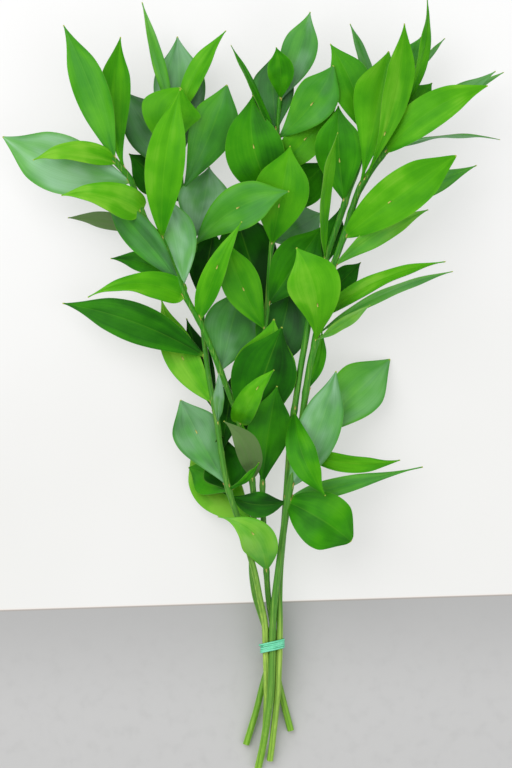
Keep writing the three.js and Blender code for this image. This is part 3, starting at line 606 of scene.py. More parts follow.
class Settling:
    """Bends each pair of blades apart where it is too close, and keeps every blade off the surface."""

    def __init__(self, stems: Sequence[Stem]) -> None:
        """Finds every place where two blades, or a blade and a foreign stem, cross.

        Args:
            stems: All stems.
        """
        self.stems = stems
        self.blades = [blade for stem in stems for blade in stem.blades]
        self.shadows = [Shadow(blade) for blade in self.blades]
        self.probes = [self.probes_of(blade) for blade in self.blades]
        self.crossings = self.blade_crossings() + self.stem_crossings()
        self.rank()

    @staticmethod
    def probes_of(blade: Blade) -> tuple[np.ndarray, list[float], list[Triple], list[float]]:
        """Picks the points at which a blade is tested.

        Args:
            blade: The blade.

        Returns:
            Their plan places, shares of the length, mixes of bends and heights without them.
        """
        s = np.repeat(PROBE_S, len(PROBE_U))
        u = np.tile(PROBE_U, len(PROBE_S))
        points = blade.point(s, u)
        fixed = blade.root[2] + points[:, 2] - blade.height(s)
        mixes = [tuple(row) for row in bends(s).tolist()]
        return points[:, :2], s.tolist(), mixes, fixed.tolist()

    def blade_crossings(self) -> list[Crossing]:
        """Finds the places where two blades cross.

        Returns:
            The crossings.
        """
        found = []
        first = len(self.stems)
        for i, one in enumerate(self.blades):
            points, shares, mixes, fixed = self.probes[i]
            for j, other in enumerate(self.blades):
                if i == j or not self.shadows[i].meets(self.shadows[j]):
                    continue
                sister = one.stem is other.stem
                steep = min(math.cos(one.roll), math.cos(other.roll))
                clearance = min(BLADE_CLEARANCE / steep, STEEPEST_CLEARANCE)
                for k, shadow in enumerate(self.shadows[j].at(points)):
                    if shadow is None or (sister and min(shares[k], shadow[2]) < ROOT_ZONE):
                        continue
                    found.append(Crossing(first + i, first + j, mixes[k], fixed[k], shadow[0], shadow[1],
                                          clearance, sister, True))
        return found

    def stem_crossings(self) -> list[Crossing]:
        """Finds the places where a blade crosses a stem that isn't its own.

        Returns:
            The crossings.
        """
        found = []
        first = len(self.stems)
        for i, stem in enumerate(self.stems):
            samples = []
            y = stem.route.start
            while y <= stem.route.end:
                centre, radius = stem.route.at(y), stem.radius_at(y)
                for aside in (-radius, 0, radius):
                    samples.append((centre[0] + aside, centre[1], centre[2], radius))
                y += STEM_PROBE_STEP
            places = np.array(samples)[:, :2]
            for j, blade in enumerate(self.blades):
                if blade.stem is stem:
                    continue
                for sample, shadow in zip(samples, self.shadows[j].at(places)):
                    if shadow is None:
                        continue
                    clearance = sample[3] + STEM_CLEARANCE / math.sqrt(math.cos(blade.roll))
                    found.append(Crossing(i, first + j, (0.0, 0.0, 0.0), float(sample[2]), shadow[0],
                                          shadow[1], clearance, False, False))
        return found

    def gap(self, crossing: Crossing) -> float:
        """Measures a crossing with the bends as they are.

        Args:
            crossing: The crossing.

        Returns:
            Height of the first over the second.
        """
        upper = crossing.fixed
        if crossing.one_bends:
            bend = self.blades[crossing.one - len(self.stems)].bend
            upper += sum(share * value for share, value in zip(crossing.mix, bend))
        bend = self.blades[crossing.other - len(self.stems)].bend
        lower = sum(share * value for share, value in zip(crossing.other_mix, bend))
        return upper - crossing.other_fixed - lower

    def rank(self) -> None:
        """Settles who lies on top: what the unbent heights say over the whole overlap."""
        sums: dict[tuple[int, int], float] = {}
        for c in self.crossings:
            key = (min(c.one, c.other), max(c.one, c.other))
            gap = self.gap(c)
            sums[key] = sums.get(key, 0.0) + (gap if c.one < c.other else -gap)
        for c in self.crossings:
            above = sums[(min(c.one, c.other), max(c.one, c.other))] >= 0
            c.side = 1 if above == (c.one < c.other) else -1

    def run(self) -> None:
        """Shifts the bends round by round until all pairs are clear."""
        first = len(self.stems)
        spare = [0.0, 0.0, 0.0]
        rows = []
        for c in self.crossings:
            weight = leverage(c.mix) + leverage(c.other_mix)
            if weight < LEAST_LEVERAGE:
                continue
            one = self.blades[c.one - first].bend if c.one_bends else spare
            other = self.blades[c.other - first].bend
            rows.append((one, other, c.mix, c.other_mix, c.fixed - c.other_fixed, c.clearance, c.side,
                         weight, c.sister, c.one_bends))
        lowest = FLOOR + BLADE_THICKNESS / 2
        for turn in range(SETTLE_ROUNDS):
            for one, other, mix, other_mix, fixed, clearance, side, weight, sister, one_bends in rows:
                if sister and turn >= SISTER_ROUNDS:
                    continue
                gap = fixed - other_mix[0] * other[0] - other_mix[1] * other[1] - other_mix[2] * other[2]
                if one_bends:
                    gap += mix[0] * one[0] + mix[1] * one[1] + mix[2] * one[2]
                short = clearance - side * gap
                if short <= 0:
                    continue
                amount = side * short / weight
                if one_bends:
                    shift(one, mix, amount)
                shift(other, other_mix, -amount)
            for blade, (_, _, mixes, fixed_heights) in zip(self.blades, self.probes):
                bend = blade.bend
                for mix, fixed in zip(mixes, fixed_heights):
                    short = lowest - fixed - mix[0] * bend[0] - mix[1] * bend[1] - mix[2] * bend[2]
                    if short > 0:
                        shift(bend, mix, short / leverage(mix))


# ------------------------------------------------------------------ meshes
@dataclass
class Patch:
    """Corners, faces and painted values of a part of a mesh."""

    corners: np.ndarray
    faces: list[Face]
    place: np.ndarray
    look: np.ndarray


def joined(patches: Iterable[Patch]) -> Patch:
    """Joins patches.

    Args:
        patches: The patches.

    Returns:
        One patch, with the corners of its faces counted on.
    """
    corners, faces, places, looks, count = [], [], [], [], 0
    for patch in patches:
        corners.append(patch.corners)
        places.append(patch.place)
        looks.append(patch.look)
        faces += [tuple(k + count for k in face) for face in patch.faces]
        count += len(patch.corners)
    return Patch(np.concatenate(corners), faces, np.concatenate(places), np.concatenate(looks))


def mesh_piece(name: str, patch: Patch, material: bpy.types.Material, crisp: float = 50) -> bpy.types.Object:
    """Makes a smooth mesh object with two painted vectors, place and look.

    Args:
        name: The piece's name.
        patch: Its corners, faces and painted values.
        material: Its finish.
        crisp: Edges that turn by more degrees than this stay crisp.

    Returns:
        The new object, in metres.
    """
    mesh = bpy.data.meshes.new(name)
    mesh.from_pydata((patch.corners * MM).tolist(), [], patch.faces)
    for title, values in (("place", patch.place), ("look", patch.look)):
        attribute = mesh.attributes.new(title, "FLOAT_VECTOR", "POINT")
        attribute.data.foreach_set("vector", values.astype(np.float32).ravel())
    mesh.materials.append(material)
    mesh.shade_smooth()
    mesh.set_sharp_from_angle(angle=math.radians(crisp))
    mesh.validate()
    piece = bpy.data.objects.new(name, mesh)
    bpy.context.scene.collection.objects.link(piece)
    return piece


def plate_grid(rows: int, wide: int) -> tuple[np.ndarray, ...]:
    """Shares of the length, 0 to 1, and places across, -1 to 1, for a plate's grid of rows by wide."""
    return tuple(np.meshgrid(np.linspace(0, 1, rows), np.linspace(-1, 1, wide), indexing="ij"))


def ring_angles(count: int) -> np.ndarray:
    """Angles, in radians, of a ring's evenly spaced corners."""
    return TURN * np.arange(count) / count


def plate(top: np.ndarray, bottom: np.ndarray, place: np.ndarray, look: Triple) -> Patch:
    """Closes a thin plate.

    Args:
        top: The top grid, root to tip by right edge to left edge.
        bottom: The bottom grid, of the same shape.
        place: A painted vector for each grid point.
        look: A painted vector for the plate, whose middle value becomes 1 on the bottom.

    Returns:
        The closed patch.
    """
    rows, wide = top.shape[:2]
    size = rows * wide
    index = np.arange(size).reshape(rows, wide)
    a, b, c, d = (x.ravel() for x in (index[:-1, :-1], index[1:, :-1], index[1:, 1:], index[:-1, 1:]))
    faces: list[Face] = np.stack([a, b, c, d], axis=1).tolist()
    faces += (np.stack([a, d, c, b], axis=1) + size).tolist()
    right, left = index[:, 0].tolist(), index[:, -1].tolist()
    for i in range(rows - 1):
        faces.append((right[i], right[i] + size, right[i + 1] + size, right[i + 1]))
        faces.append((left[i], left[i + 1], left[i + 1] + size, left[i] + size))
    root, tip = index[0].tolist(), index[-1].tolist()
    for j in range(wide - 1):
        faces.append((root[j], root[j + 1], root[j + 1] + size, root[j] + size))
        faces.append((tip[j], tip[j] + size, tip[j + 1] + size, tip[j + 1]))
    looks = np.tile(np.array(look, float), (2 * size, 1))
    looks[:size, 1] = 0
    looks[size:, 1] = 1
    corners = np.concatenate([top.reshape(-1, 3), bottom.reshape(-1, 3)])
    return Patch(corners, faces, np.tile(place.reshape(-1, 3), (2, 1)), looks)


def tube(rings: np.ndarray, place: np.ndarray, look: np.ndarray, closed: bool = False) -> Patch:
    """Skins rings of equal size.

    Args:
        rings: The rings, each anticlockwise seen from the next one.
        place: A painted vector for each ring point.
        look: A painted vector for each ring point.
        closed: Whether the last ring joins the first one; otherwise both ends get a flat cap.

    Returns:
        The closed patch.
    """
    count, size = rings.shape[:2]
    faces: list[Face] = []
    for i in range(count if closed else count - 1):
        here, then = i * size, ((i + 1) % count) * size
        for j in range(size):
            k = (j + 1) % size
            faces.append((here + j, here + k, then + k, then + j))
    if not closed:
        faces.append(tuple(range(size - 1, -1, -1)))
        faces.append(tuple((count - 1) * size + j for j in range(size)))
    return Patch(rings.reshape(-1, 3), faces, place.reshape(-1, 3), look.reshape(-1, 3))


# ------------------------------------------------------------------ finishes
def linear(value: float) -> float:
    """A linear share of light from a display value of 0 to 255, by the usual display curve."""
    share = value / 255
    return share / 12.92 if share <= 0.04045 else ((share + 0.055) / 1.055) ** 2.4


def srgb(red: float, green: float, blue: float) -> Colour:
    """A linear colour from display values of 0 to 255."""
    return (linear(red), linear(green), linear(blue), 1.0)


@dataclass(frozen=True)
class Grain:
    """A noise pattern: how far its place is stretched, how fine, how detailed and how rough it is."""

    stretch: Triple = (1.0, 1.0, 1.0)
    scale: float = 1.0
    detail: float = 2.0
    rough: float = 0.5


# Numbers of the sockets of a colour mix: the share and the two colours, and the mix.
MIX_INPUTS = (0, 6, 7)
MIX_OUTPUT = 2


class NodeBook:
    """Adds and links the nodes of one material."""

    def __init__(self, name: str) -> None:
        """Starts an empty material with a Principled shader.

        Args:
            name: The material's name.
        """
        self.material = bpy.data.materials.new(name)
        self.material.use_nodes = True
        self.tree = self.material.node_tree
        self.tree.nodes.clear()
        self.shader = self.tree.nodes.new("ShaderNodeBsdfPrincipled")
        self.node("OutputMaterial", {"Surface": self.shader.outputs["BSDF"]})

    def put(self, target: bpy.types.NodeSocket, value: Any) -> None:
        """Fills a socket.

        Args:
            target: The input socket.
            value: A plain value, or the output socket to link to it.
        """
        if isinstance(value, bpy.types.NodeSocket):
            self.tree.links.new(value, target)
        else:
            target.default_value = value

    def node(self, kind: str, inputs: dict[Any, Any], **settings: Any) -> bpy.types.Node:
        """Adds a node.

        Args:
            kind: Its type.
            inputs: What goes into its sockets, by their names or numbers.
            settings: Its other properties.

        Returns:
            The node.
        """
        node = self.tree.nodes.new(f"ShaderNode{kind}")
        for name, value in settings.items():
            setattr(node, name, value)
        for key, value in inputs.items():
            self.put(node.inputs[key], value)
        return node

    def math(self, operation: str, first: Any, second: Any = 0.0, clamp: bool = False) -> Any:
        """One operation on one or two values."""
        return self.node("Math", {0: first, 1: second}, operation=operation, use_clamp=clamp).outputs[0]

    def times(self, first: Any, second: Any) -> Any:
        """The product of two values."""
        return self.math("MULTIPLY", first, second)

    def total(self, *values: Any) -> Any:
        """The sum of values."""
        return functools.reduce(lambda first, second: self.math("ADD", first, second), values)

    def ramp(self, value: Any, step: Step) -> Any:
        """Smoothly turns a value between two limits into another between two results.

        Args:
            value: The value.
            step: The lower and upper limit, and the results there.

        Returns:
            The result.
        """
        limits = dict(zip(("From Min", "From Max", "To Min", "To Max"), step))
        inputs = {"Value": value, **limits}
        return self.node("MapRange", inputs, interpolation_type="SMOOTHSTEP").outputs["Result"]

    def painted(self, title: str) -> Any:
        """A vector painted on the mesh."""
        return self.node("Attribute", {}, attribute_name=title).outputs["Vector"]

    def parts(self, vector: Any) -> tuple[Any, ...]:
        """The three values of a vector."""
        return tuple(self.node("SeparateXYZ", {0: vector}).outputs)

    def position(self) -> Any:
        """The place on the piece, in metres."""
        return self.node("TexCoord", {}).outputs["Object"]

    def noise(self, vector: Any, grain: Grain) -> Any:
        """Reads a noise pattern.

        Args:
            vector: Where it is read.
            grain: The pattern.

        Returns:
            A value from 0 to 1.
        """
        place = self.node("VectorMath", {0: vector, 1: grain.stretch}, operation="MULTIPLY").outputs[0]
        inputs = {"Vector": place, "Scale": grain.scale, "Detail": grain.detail, "Roughness": grain.rough}
        return self.node("TexNoise", inputs).outputs["Fac"]

    def colours(self, value: Any, stops: Sequence[tuple[float, Colour]]) -> Any:
        """Reads a colour from a row of stops.

        Args:
            value: The place in the row.
            stops: Places from 0 to 1 and their colours.

        Returns:
            The colour.
        """
        node = self.node("ValToRGB", {0: value})
        row = node.color_ramp.elements
        while len(row) < len(stops):
            row.new(0.5)
        for element, (place, colour) in zip(row, stops):
            element.position = place
            element.color = colour
        return node.outputs["Color"]

    def mix(self, share: Any, first: Any, second: Any) -> Any:
        """A mix of two colours, with a share of the second."""
        inputs = dict(zip(MIX_INPUTS, (share, first, second)))
        return self.node("Mix", inputs, data_type="RGBA").outputs[MIX_OUTPUT]

    def bump(self, height: Any, depth: float, strength: float = 1.0) -> None:
        """Bumps the surface by a height of up to a depth in millimetres."""
        inputs = {"Strength": strength, "Distance": depth * MM, "Height": height}
        self.put(self.shader.inputs["Normal"], self.node("Bump", inputs).outputs["Normal"])

    def finish(self, colour: Any, roughness: Any, **plain: float) -> bpy.types.Material:
        """Dresses the shader.

        Args:
            colour: Its base colour.
            roughness: Its roughness.
            plain: Its other values, which are the same all over.

        Returns:
            The finished material.
        """
        self.put(self.shader.inputs["Base Color"], colour)
        self.put(self.shader.inputs["Roughness"], roughness)
        for name, value in plain.items():
            self.shader.inputs[name.replace("_", " ")].default_value = value
        return self.material


@dataclass(frozen=True)
class BladeFinish:
    """Waxy green blade: faint lengthwise veins, painted sheen and shade, a yellow point and an olive back."""

    deepest: Colour = srgb(14, 62, 6)
    dark: Colour = srgb(32, 108, 6)
    middle: Colour = srgb(56, 146, 8)
    bright: Colour = srgb(88, 176, 18)
    palest: Colour = srgb(128, 198, 50)
    # Colour of the painted sheen, a pale reflection of the light.
    painted_sheen: Colour = srgb(172, 216, 184)
    back: Colour = srgb(100, 126, 76)
    point: Colour = srgb(176, 190, 80)
    tone_stops: tuple[float, ...] = (0.0, 0.25, 0.5, 0.78, 1.0)

    streak_grain: Grain = Grain((0.9, 9.0, 1.0), detail=3.0, rough=0.55)
    fine_grain: Grain = Grain((1.6, 26.0, 1.0))
    mottle_grain: Grain = Grain(scale=60.0, detail=3.0)
    drift_grain: Grain = Grain((2.0, 0.8, 1.0), scale=1.4, detail=1.0)
    cloud_grain: Grain = Grain((2.2, 0.9, 1.0))

    streak_tone: Step = (0.3, 0.7, -0.03, 0.03)
    mottle_tone: Step = (0.3, 0.7, -0.05, 0.05)
    fine_tone: Step = (0.3, 0.7, -0.012, 0.012)
    drift_tone: Step = (0.36, 0.64, -0.09, 0.09)
    # Painted shade: darker towards the root, and on one half of the blade as if lit from one side.
    painted_root_shade: Step = (0.02, 0.4, -0.1, 0.02)
    painted_half_shade: Step = (-0.06, 0.06, -0.03, 0.03)
    rib: Step = (0.0, 0.04, 0.14, 0.0)
    rim: Step = (0.97, 1.0, 0.0, 0.25)
    # Where the painted sheen lies: in soft clouds, fainter at the edges, a little broken by the fine streaks.
    painted_sheen_cloud: Step = (0.36, 0.64, 0.35, 1.0)
    painted_sheen_rim: Step = (0.8, 1.0, 1.0, 0.4)
    painted_sheen_fine: Step = (0.2, 0.8, 0.8, 1.0)
    back_fine: Step = (0.35, 0.65, 0.0, 0.2)
    point_start: Step = (0.985, 0.995, 0.0, 1.0)
    root_pale: Step = (0.02, 0.06, 0.5, 0.0)
    streak_roughness: Step = (0.3, 0.7, 0.36, 0.44)
    dark_roughness: Step = (0.08, 0.3, 0.4, 0.0)

    streak_height: float = 0.5
    fine_height: float = 0.15
    mottle_height: float = 0.6
    bump_depth: float = 0.4
    bump_strength: float = 0.6
    coat: float = 0.03
    coat_roughness: float = 0.25
    specular: float = 0.08

    def material(self) -> bpy.types.Material:
        """Makes the material.

        Returns:
            The material.
        """
        book = NodeBook("ruscus_blade")
        place = book.painted("place")
        s, u, _ = book.parts(place)
        tone, back, sheen = book.parts(book.painted("look"))
        reach = book.math("ABSOLUTE", u)
        streaks = book.noise(place, self.streak_grain)
        fine = book.noise(place, self.fine_grain)
        mottle = book.noise(book.position(), self.mottle_grain)
        drift = book.noise(place, self.drift_grain)
        cloud = book.noise(place, self.cloud_grain)
        # Random streaks and mottle shift the tone, and so does painted shade at the root and on one half.
        shift = book.total(book.ramp(streaks, self.streak_tone), book.ramp(mottle, self.mottle_tone),
                           book.ramp(fine, self.fine_tone), book.ramp(drift, self.drift_tone),
                           book.ramp(s, self.painted_root_shade), book.ramp(u, self.painted_half_shade))
        greens = (self.deepest, self.dark, self.middle, self.bright, self.palest)
        top = book.colours(book.math("ADD", tone, shift, clamp=True), list(zip(self.tone_stops, greens)))
        top = book.mix(book.ramp(reach, self.rib), top, self.palest)
        top = book.mix(book.ramp(reach, self.rim), top, self.palest)
        # Painted sheen: a pale reflection of the light laid over the top of some blades.
        painted_sheen_share = book.times(book.ramp(cloud, self.painted_sheen_cloud), sheen)
        painted_sheen_share = book.times(painted_sheen_share, book.ramp(reach, self.painted_sheen_rim))
        painted_sheen_share = book.times(painted_sheen_share, book.ramp(fine, self.painted_sheen_fine))
        top = book.mix(painted_sheen_share, top, self.painted_sheen)
        under = book.mix(book.ramp(fine, self.back_fine), self.back, self.middle)
        colour = book.mix(back, top, under)
        colour = book.mix(book.ramp(s, self.point_start), colour, self.point)
        colour = book.mix(book.ramp(s, self.root_pale), colour, self.palest)
        height = book.total(book.times(streaks, self.streak_height), book.times(fine, self.fine_height),
                            book.times(mottle, self.mottle_height))
        book.bump(height, self.bump_depth, self.bump_strength)
        roughness = book.total(book.ramp(streaks, self.streak_roughness),
                               book.ramp(tone, self.dark_roughness))
        return book.finish(colour, roughness, Coat_Weight=self.coat, Coat_Roughness=self.coat_roughness,
                           Specular_IOR_Level=self.specular)


@dataclass(frozen=True)
class StemFinish:
    """Grooved green stem, painted shade in its grooves, pale in its lower part, and a pale pith on the cut.
    """

    foot: Colour = srgb(124, 188, 44)
    pale: Colour = srgb(186, 222, 98)
    body: Colour = srgb(84, 150, 50)
    crown: Colour = srgb(58, 142, 24)
    # Painted shade in the grooves between the ridges.
    painted_groove_shade: Colour = srgb(40, 98, 18)
    pith: Colour = srgb(196, 200, 128)
    body_start: float = 0.12
    body_end: float = 0.35
    crown_start: float = 0.7

    grain: Grain = Grain((900.0, 26.0, 900.0), detail=3.0)
    pale_grain: Step = (0.3, 0.65, 0.55, 1.0)
    light_grain: Step = (0.5, 0.75, 0.0, 0.35)
    painted_groove_shade_depth: Step = (0.0, 0.5, 0.45, 0.0)
    grain_roughness: Step = (0.3, 0.7, 0.38, 0.55)

    bump_depth: float = 0.25
    bump_strength: float = 0.6
    coat: float = 0.05
    coat_roughness: float = 0.3
    specular: float = 0.2

    def material(self) -> bpy.types.Material:
        """Makes the material.

        Returns:
            The material.
        """
        book = NodeBook("ruscus_stem")
        along, _, _ = book.parts(book.painted("place"))
        cut, ridge, pallor = book.parts(book.painted("look"))
        grain = book.noise(book.position(), self.grain)
        colour = book.colours(along, [(0.0, self.foot), (self.body_start, self.body),
                                      (self.body_end, self.body), (self.crown_start, self.crown)])
        colour = book.mix(book.times(pallor, book.ramp(grain, self.pale_grain)), colour, self.pale)
        colour = book.mix(book.ramp(grain, self.light_grain), colour, self.pale)
        # Painted shade darkens the grooves.
        colour = book.mix(book.ramp(ridge, self.painted_groove_shade_depth), colour, self.painted_groove_shade)
        colour = book.mix(cut, colour, self.pith)
        book.bump(grain, self.bump_depth, self.bump_strength)
        return book.finish(colour, book.ramp(grain, self.grain_roughness), Coat_Weight=self.coat,
                           Coat_Roughness=self.coat_roughness, Specular_IOR_Level=self.specular)


@dataclass(frozen=True)
class BractFinish:
    """Thin papery scale, straw yellow with a browner tip."""

    straw: Colour = srgb(206, 200, 104)
    brown: Colour = srgb(148, 112, 56)
    grain: Grain = Grain((1.5, 8.0, 1.0))
    brown_tip: Step = (0.45, 1.0, 0.0, 0.75)
    brown_grain: Step = (0.4, 0.7, 0.0, 0.3)
    bump_depth: float = 0.1
    roughness: float = 0.6

    def material(self) -> bpy.types.Material:
        """Makes the material.

        Returns:
            The material.
        """
        book = NodeBook("ruscus_bract")
        place = book.painted("place")
        grain = book.noise(place, self.grain)
        tip = book.ramp(book.parts(place)[0], self.brown_tip)
        share = book.math("ADD", tip, book.ramp(grain, self.brown_grain), clamp=True)
        book.bump(grain, self.bump_depth)
        return book.finish(book.mix(share, self.straw, self.brown), self.roughness)


@dataclass(frozen=True)
class RubberFinish:
    """Mint green rubber, a little dusty, fine stretch marks along the strand, painted shade between turns."""

    mint: Colour = srgb(110, 226, 175)
    light: Colour = srgb(150, 240, 208)
    shade: Colour = srgb(58, 170, 124)
    # Painted shade along the strand's sides, where the turns lie against one another.
    painted_groove_shade: Colour = srgb(22, 112, 78)

    mark_grain: Grain = Grain((0.5, 5.0, 0.0), detail=3.0)
    dust_grain: Grain = Grain(scale=500.0, detail=3.0)
    light_marks: Step = (0.4, 0.75, 0.0, 0.7)
    dust_shade: Step = (0.5, 0.75, 0.0, 0.5)
    painted_groove_shade_sides: Step = (0.5, 0.95, 0.0, 0.9)
    dust_roughness: Step = (0.3, 0.7, 0.42, 0.58)

    dust_height: float = 0.5
    bump_depth: float = 0.12
    coat: float = 0.1
    coat_roughness: float = 0.4

    def material(self) -> bpy.types.Material:
        """Makes the material.

        Returns:
            The material.
        """
        book = NodeBook("tie_rubber")
        place = book.painted("place")
        marks = book.noise(place, self.mark_grain)
        dust = book.noise(book.position(), self.dust_grain)
        side = book.math("ABSOLUTE", book.parts(place)[2])
        colour = book.mix(book.ramp(marks, self.light_marks), self.mint, self.light)
        colour = book.mix(book.ramp(dust, self.dust_shade), colour, self.shade)
        # Painted shade darkens the strand's sides.
        colour = book.mix(book.ramp(side, self.painted_groove_shade_sides), colour, self.painted_groove_shade)
        book.bump(book.total(marks, book.times(dust, self.dust_height)), self.bump_depth)
        return book.finish(colour, book.ramp(dust, self.dust_roughness), Coat_Weight=self.coat,
                           Coat_Roughness=self.coat_roughness)


@dataclass(frozen=True)
class FloorFinish:
    """A pale glowing sheet above a slightly leaning seam, a grey matt table below, painted light and shade.
    """

    pale: Colour = srgb(254, 254, 254)
    # The sheet's darker colour: low down, where the painted light is weaker, and in its clouds.
    cloud: Colour = srgb(242, 242, 240)
    unlit: Colour = (0.0, 0.0, 0.0, 1.0)
    grey: Colour = srgb(204, 204, 204)
    speck: Colour = srgb(199, 199, 199)
    # Painted shade on the table near the seam.
    painted_table_shade: Colour = srgb(184, 184, 184)
    seam: Colour = srgb(176, 166, 158)
    edge_row: float = 604.0
    lean: float = 0.031
    # The sheet glows by itself: painted light that lifts the shadows on it.
    glow: float = 0.56

    cloud_grain: Grain = Grain(scale=3.0, detail=3.0)
    speck_grain: Grain = Grain(scale=90.0, detail=4.0)
    # Painted light: the sheet grows paler towards the top.
    painted_light_rise: Step = (-0.16, 0.28, 0.0, 1.0)
    cloud_mottle: Step = (0.3, 0.7, -0.2, 0.2)
    specks: Step = (0.45, 0.8, 0.0, 1.0)
    # Painted shade: the table darkens towards the seam.
    painted_table_shade_rise: Step = (-0.09, 0.02, 0.0, 1.0)
    sheet_edge: Step = (-0.0006, 0.0006, 0.0, 1.0)
    seam_width: Step = (0.0004, 0.0014, 0.8, 0.0)
    roughness: float = 0.85
    specular: float = 0.1

    def material(self) -> bpy.types.Material:
        """Makes the material.

        Returns:
            The material.
        """
        book = NodeBook("pale_floor")
        position = book.position()
        x, y, _ = book.parts(position)
        clouds = book.ramp(book.noise(position, self.cloud_grain), self.cloud_mottle)
        # Painted light makes the sheet paler towards the top, with random clouds over it.
        mottle = book.math("ADD", book.ramp(y, self.painted_light_rise), clouds, clamp=True)
        sheet = book.mix(mottle, self.cloud, self.pale)
        over = book.math("SUBTRACT", y, book.times(x, self.lean))
        over = book.math("SUBTRACT", over, plan_y(self.edge_row) * MM)
        specks = book.ramp(book.noise(position, self.speck_grain), self.specks)
        # Painted shade darkens the table towards the seam.
        table = book.mix(book.ramp(over, self.painted_table_shade_rise), book.mix(specks, self.grey, self.speck), self.painted_table_shade)
        share = book.ramp(over, self.sheet_edge)
        # The sheet's own glow is painted light; the table does not glow.
        colour = book.mix(share, table, book.mix(self.glow, sheet, self.unlit))
        book.put(book.shader.inputs["Emission Color"], book.mix(share, self.unlit, sheet))
        near = book.ramp(book.math("ABSOLUTE", over), self.seam_width)
        return book.finish(book.mix(near, colour, self.seam), self.roughness,
                           Specular_IOR_Level=self.specular, Emission_Strength=self.glow)


# ------------------------------------------------------------------ the bunch
class Relief(Enum):
    """The rises and grooves that run the length of a blade: place across, width and height."""

    RIB = (0.0, 0.07, -0.32)
    INNER_VEINS = (0.34, 0.09, 0.07)
    OUTER_VEINS = (0.66, 0.09, 0.06)


@dataclass
class Foliage:
    """The fine blades of one stem.

    Attributes:
        stem: The stem.
        seed: A number of its own, which shifts its veins and waves.
        seed_step: What each blade adds to it.
        draws_step: How finely a blade's number is read for its draws.
        rows: Grid points along a blade.
        wide: Grid points across a blade.
        probe: How far off the surface's slopes are taken.
        crease: How much of the cup is a crease at the midrib.
        crease_soft: How wide the bottom of the crease is rounded.
        wave: Height of the long waves at the edges.
        wave_turns: Fewest and most long waves along a blade.
        wave_tilt: Least and most lean of the long waves.
        ripple: Height of the ripples at the edges.
        ripple_turns: Ripples along a blade.
        relief_start: Over what share of the length relief and waves rise from the root.
        relief_end: Over what share of the length they fade to the tip.
        thickness: Greatest thickness.
        edge_thinning: What share of it is gone at the edges.
        end_thickness: What share of it is left at root and tip.
        end_zone: Over what share of the length it thins to root and tip.
        rim: Least thickness.
    """

    stem: Stem
    seed: int
    seed_step: float = 1.37
    draws_step: int = 1000
    rows: int = 44
    wide: int = 19
    probe: float = 0.004
    crease: float = 0.5
    crease_soft: float = 0.12
    wave: float = 0.5
    wave_turns: Pair = (1.2, 2.2)
    wave_tilt: Pair = (0.6, 1.4)
    ripple: float = 0.25
    ripple_turns: float = 3.1
    relief_start: float = 0.2
    relief_end: float = 0.25
    thickness: float = 0.75
    edge_thinning: float = 0.5
    end_thickness: float = 0.6
    end_zone: float = 0.1
    rim: float = 0.3

    def curl_shape(self, u: np.ndarray) -> np.ndarray:
        """Shapes a cup that is part round, part creased at the midrib.

        Args:
            u: Places across.

        Returns:
            The rise at each place: 0 in the middle and 1 at the edges.
        """
        soft = self.crease_soft
        crease = (np.sqrt(u * u + soft * soft) - soft) / (math.sqrt(1 + soft * soft) - soft)
        return (1 - self.crease) * u * u + self.crease * crease

    def relief(self, u: np.ndarray) -> np.ndarray:
        """Adds up the lengthwise rises and grooves.

        Args:
            u: Places across.

        Returns:
            The height at each place.
        """
        total = np.zeros_like(u)
        for line in Relief:
            place, width, height = line.value
            total += height * np.exp(-(((np.abs(u) - place) / width) ** 2))
        return total

    def blade(self, blade: Blade, seed: float) -> Patch:
        """Makes the closed fine mesh of one blade.

        Args:
            blade: Its middle surface.
            seed: A number of its own, which shifts its veins and waves.

        Returns:
            The blade's patch.
        """
        draw = np.random.default_rng(int(seed * self.draws_step))
        s, u = plate_grid(self.rows, self.wide)
        ahead = blade.point(np.clip(s + self.probe, 0, 1), u, self.curl_shape)
        behind = blade.point(np.clip(s - self.probe, 0, 1), u, self.curl_shape)
        left = blade.point(s, u + self.probe, self.curl_shape)
        right = blade.point(s, u - self.probe, self.curl_shape)
        normal = unit(np.cross(ahead - behind, left - right))
        middle = blade.point(s, u, self.curl_shape)
        turns, start = draw.uniform(*self.wave_turns), draw.uniform(0, TURN)
        tilt = draw.uniform(*self.wave_tilt)
        swell = self.wave * np.sin(TURN * turns * s + start + tilt * u) * u * u
        swell = swell + self.ripple * np.sin(TURN * self.ripple_turns * s + 2 * start) * u
        fade = smooth_ramp(s / self.relief_start) * smooth_ramp((1 - s) / self.relief_end)
        bulge = (swell + self.relief(u)) * fade
        inner = smooth_ramp(s / self.end_zone) * smooth_ramp((1 - s) / self.end_zone)
        lasting = self.end_thickness + (1 - self.end_thickness) * inner
        full = self.thickness * (1 - self.edge_thinning * u ** 4) * lasting
        half = np.maximum(full, self.rim) / 2
        place = np.stack([s, u, np.full_like(s, seed)], axis=-1)
        top = middle + normal * (bulge + half)[..., None]
        bottom = middle + normal * (bulge - half)[..., None]
        # The look's tone and sheen paint light and shade on the blade.
        patch = plate(top, bottom, place, (blade.leaf.tone, 0.0, blade.leaf.sheen))
        if blade.leaf.turned:
            patch.look[:, 1] = 1 - patch.look[:, 1]
        return patch

    def build(self, finish: bpy.types.Material) -> bpy.types.Object:
        """Makes the stem's blades as one piece.

        Args:
            finish: Their finish.

        Returns:
            The piece.
        """
        seeds = (self.seed + self.seed_step * (i + 1) for i in range(len(self.stem.blades)))
        patches = [self.blade(blade, seed) for blade, seed in zip(self.stem.blades, seeds)]
        return mesh_piece(f"{self.stem.plan.piece}_blades", joined(patches), finish)


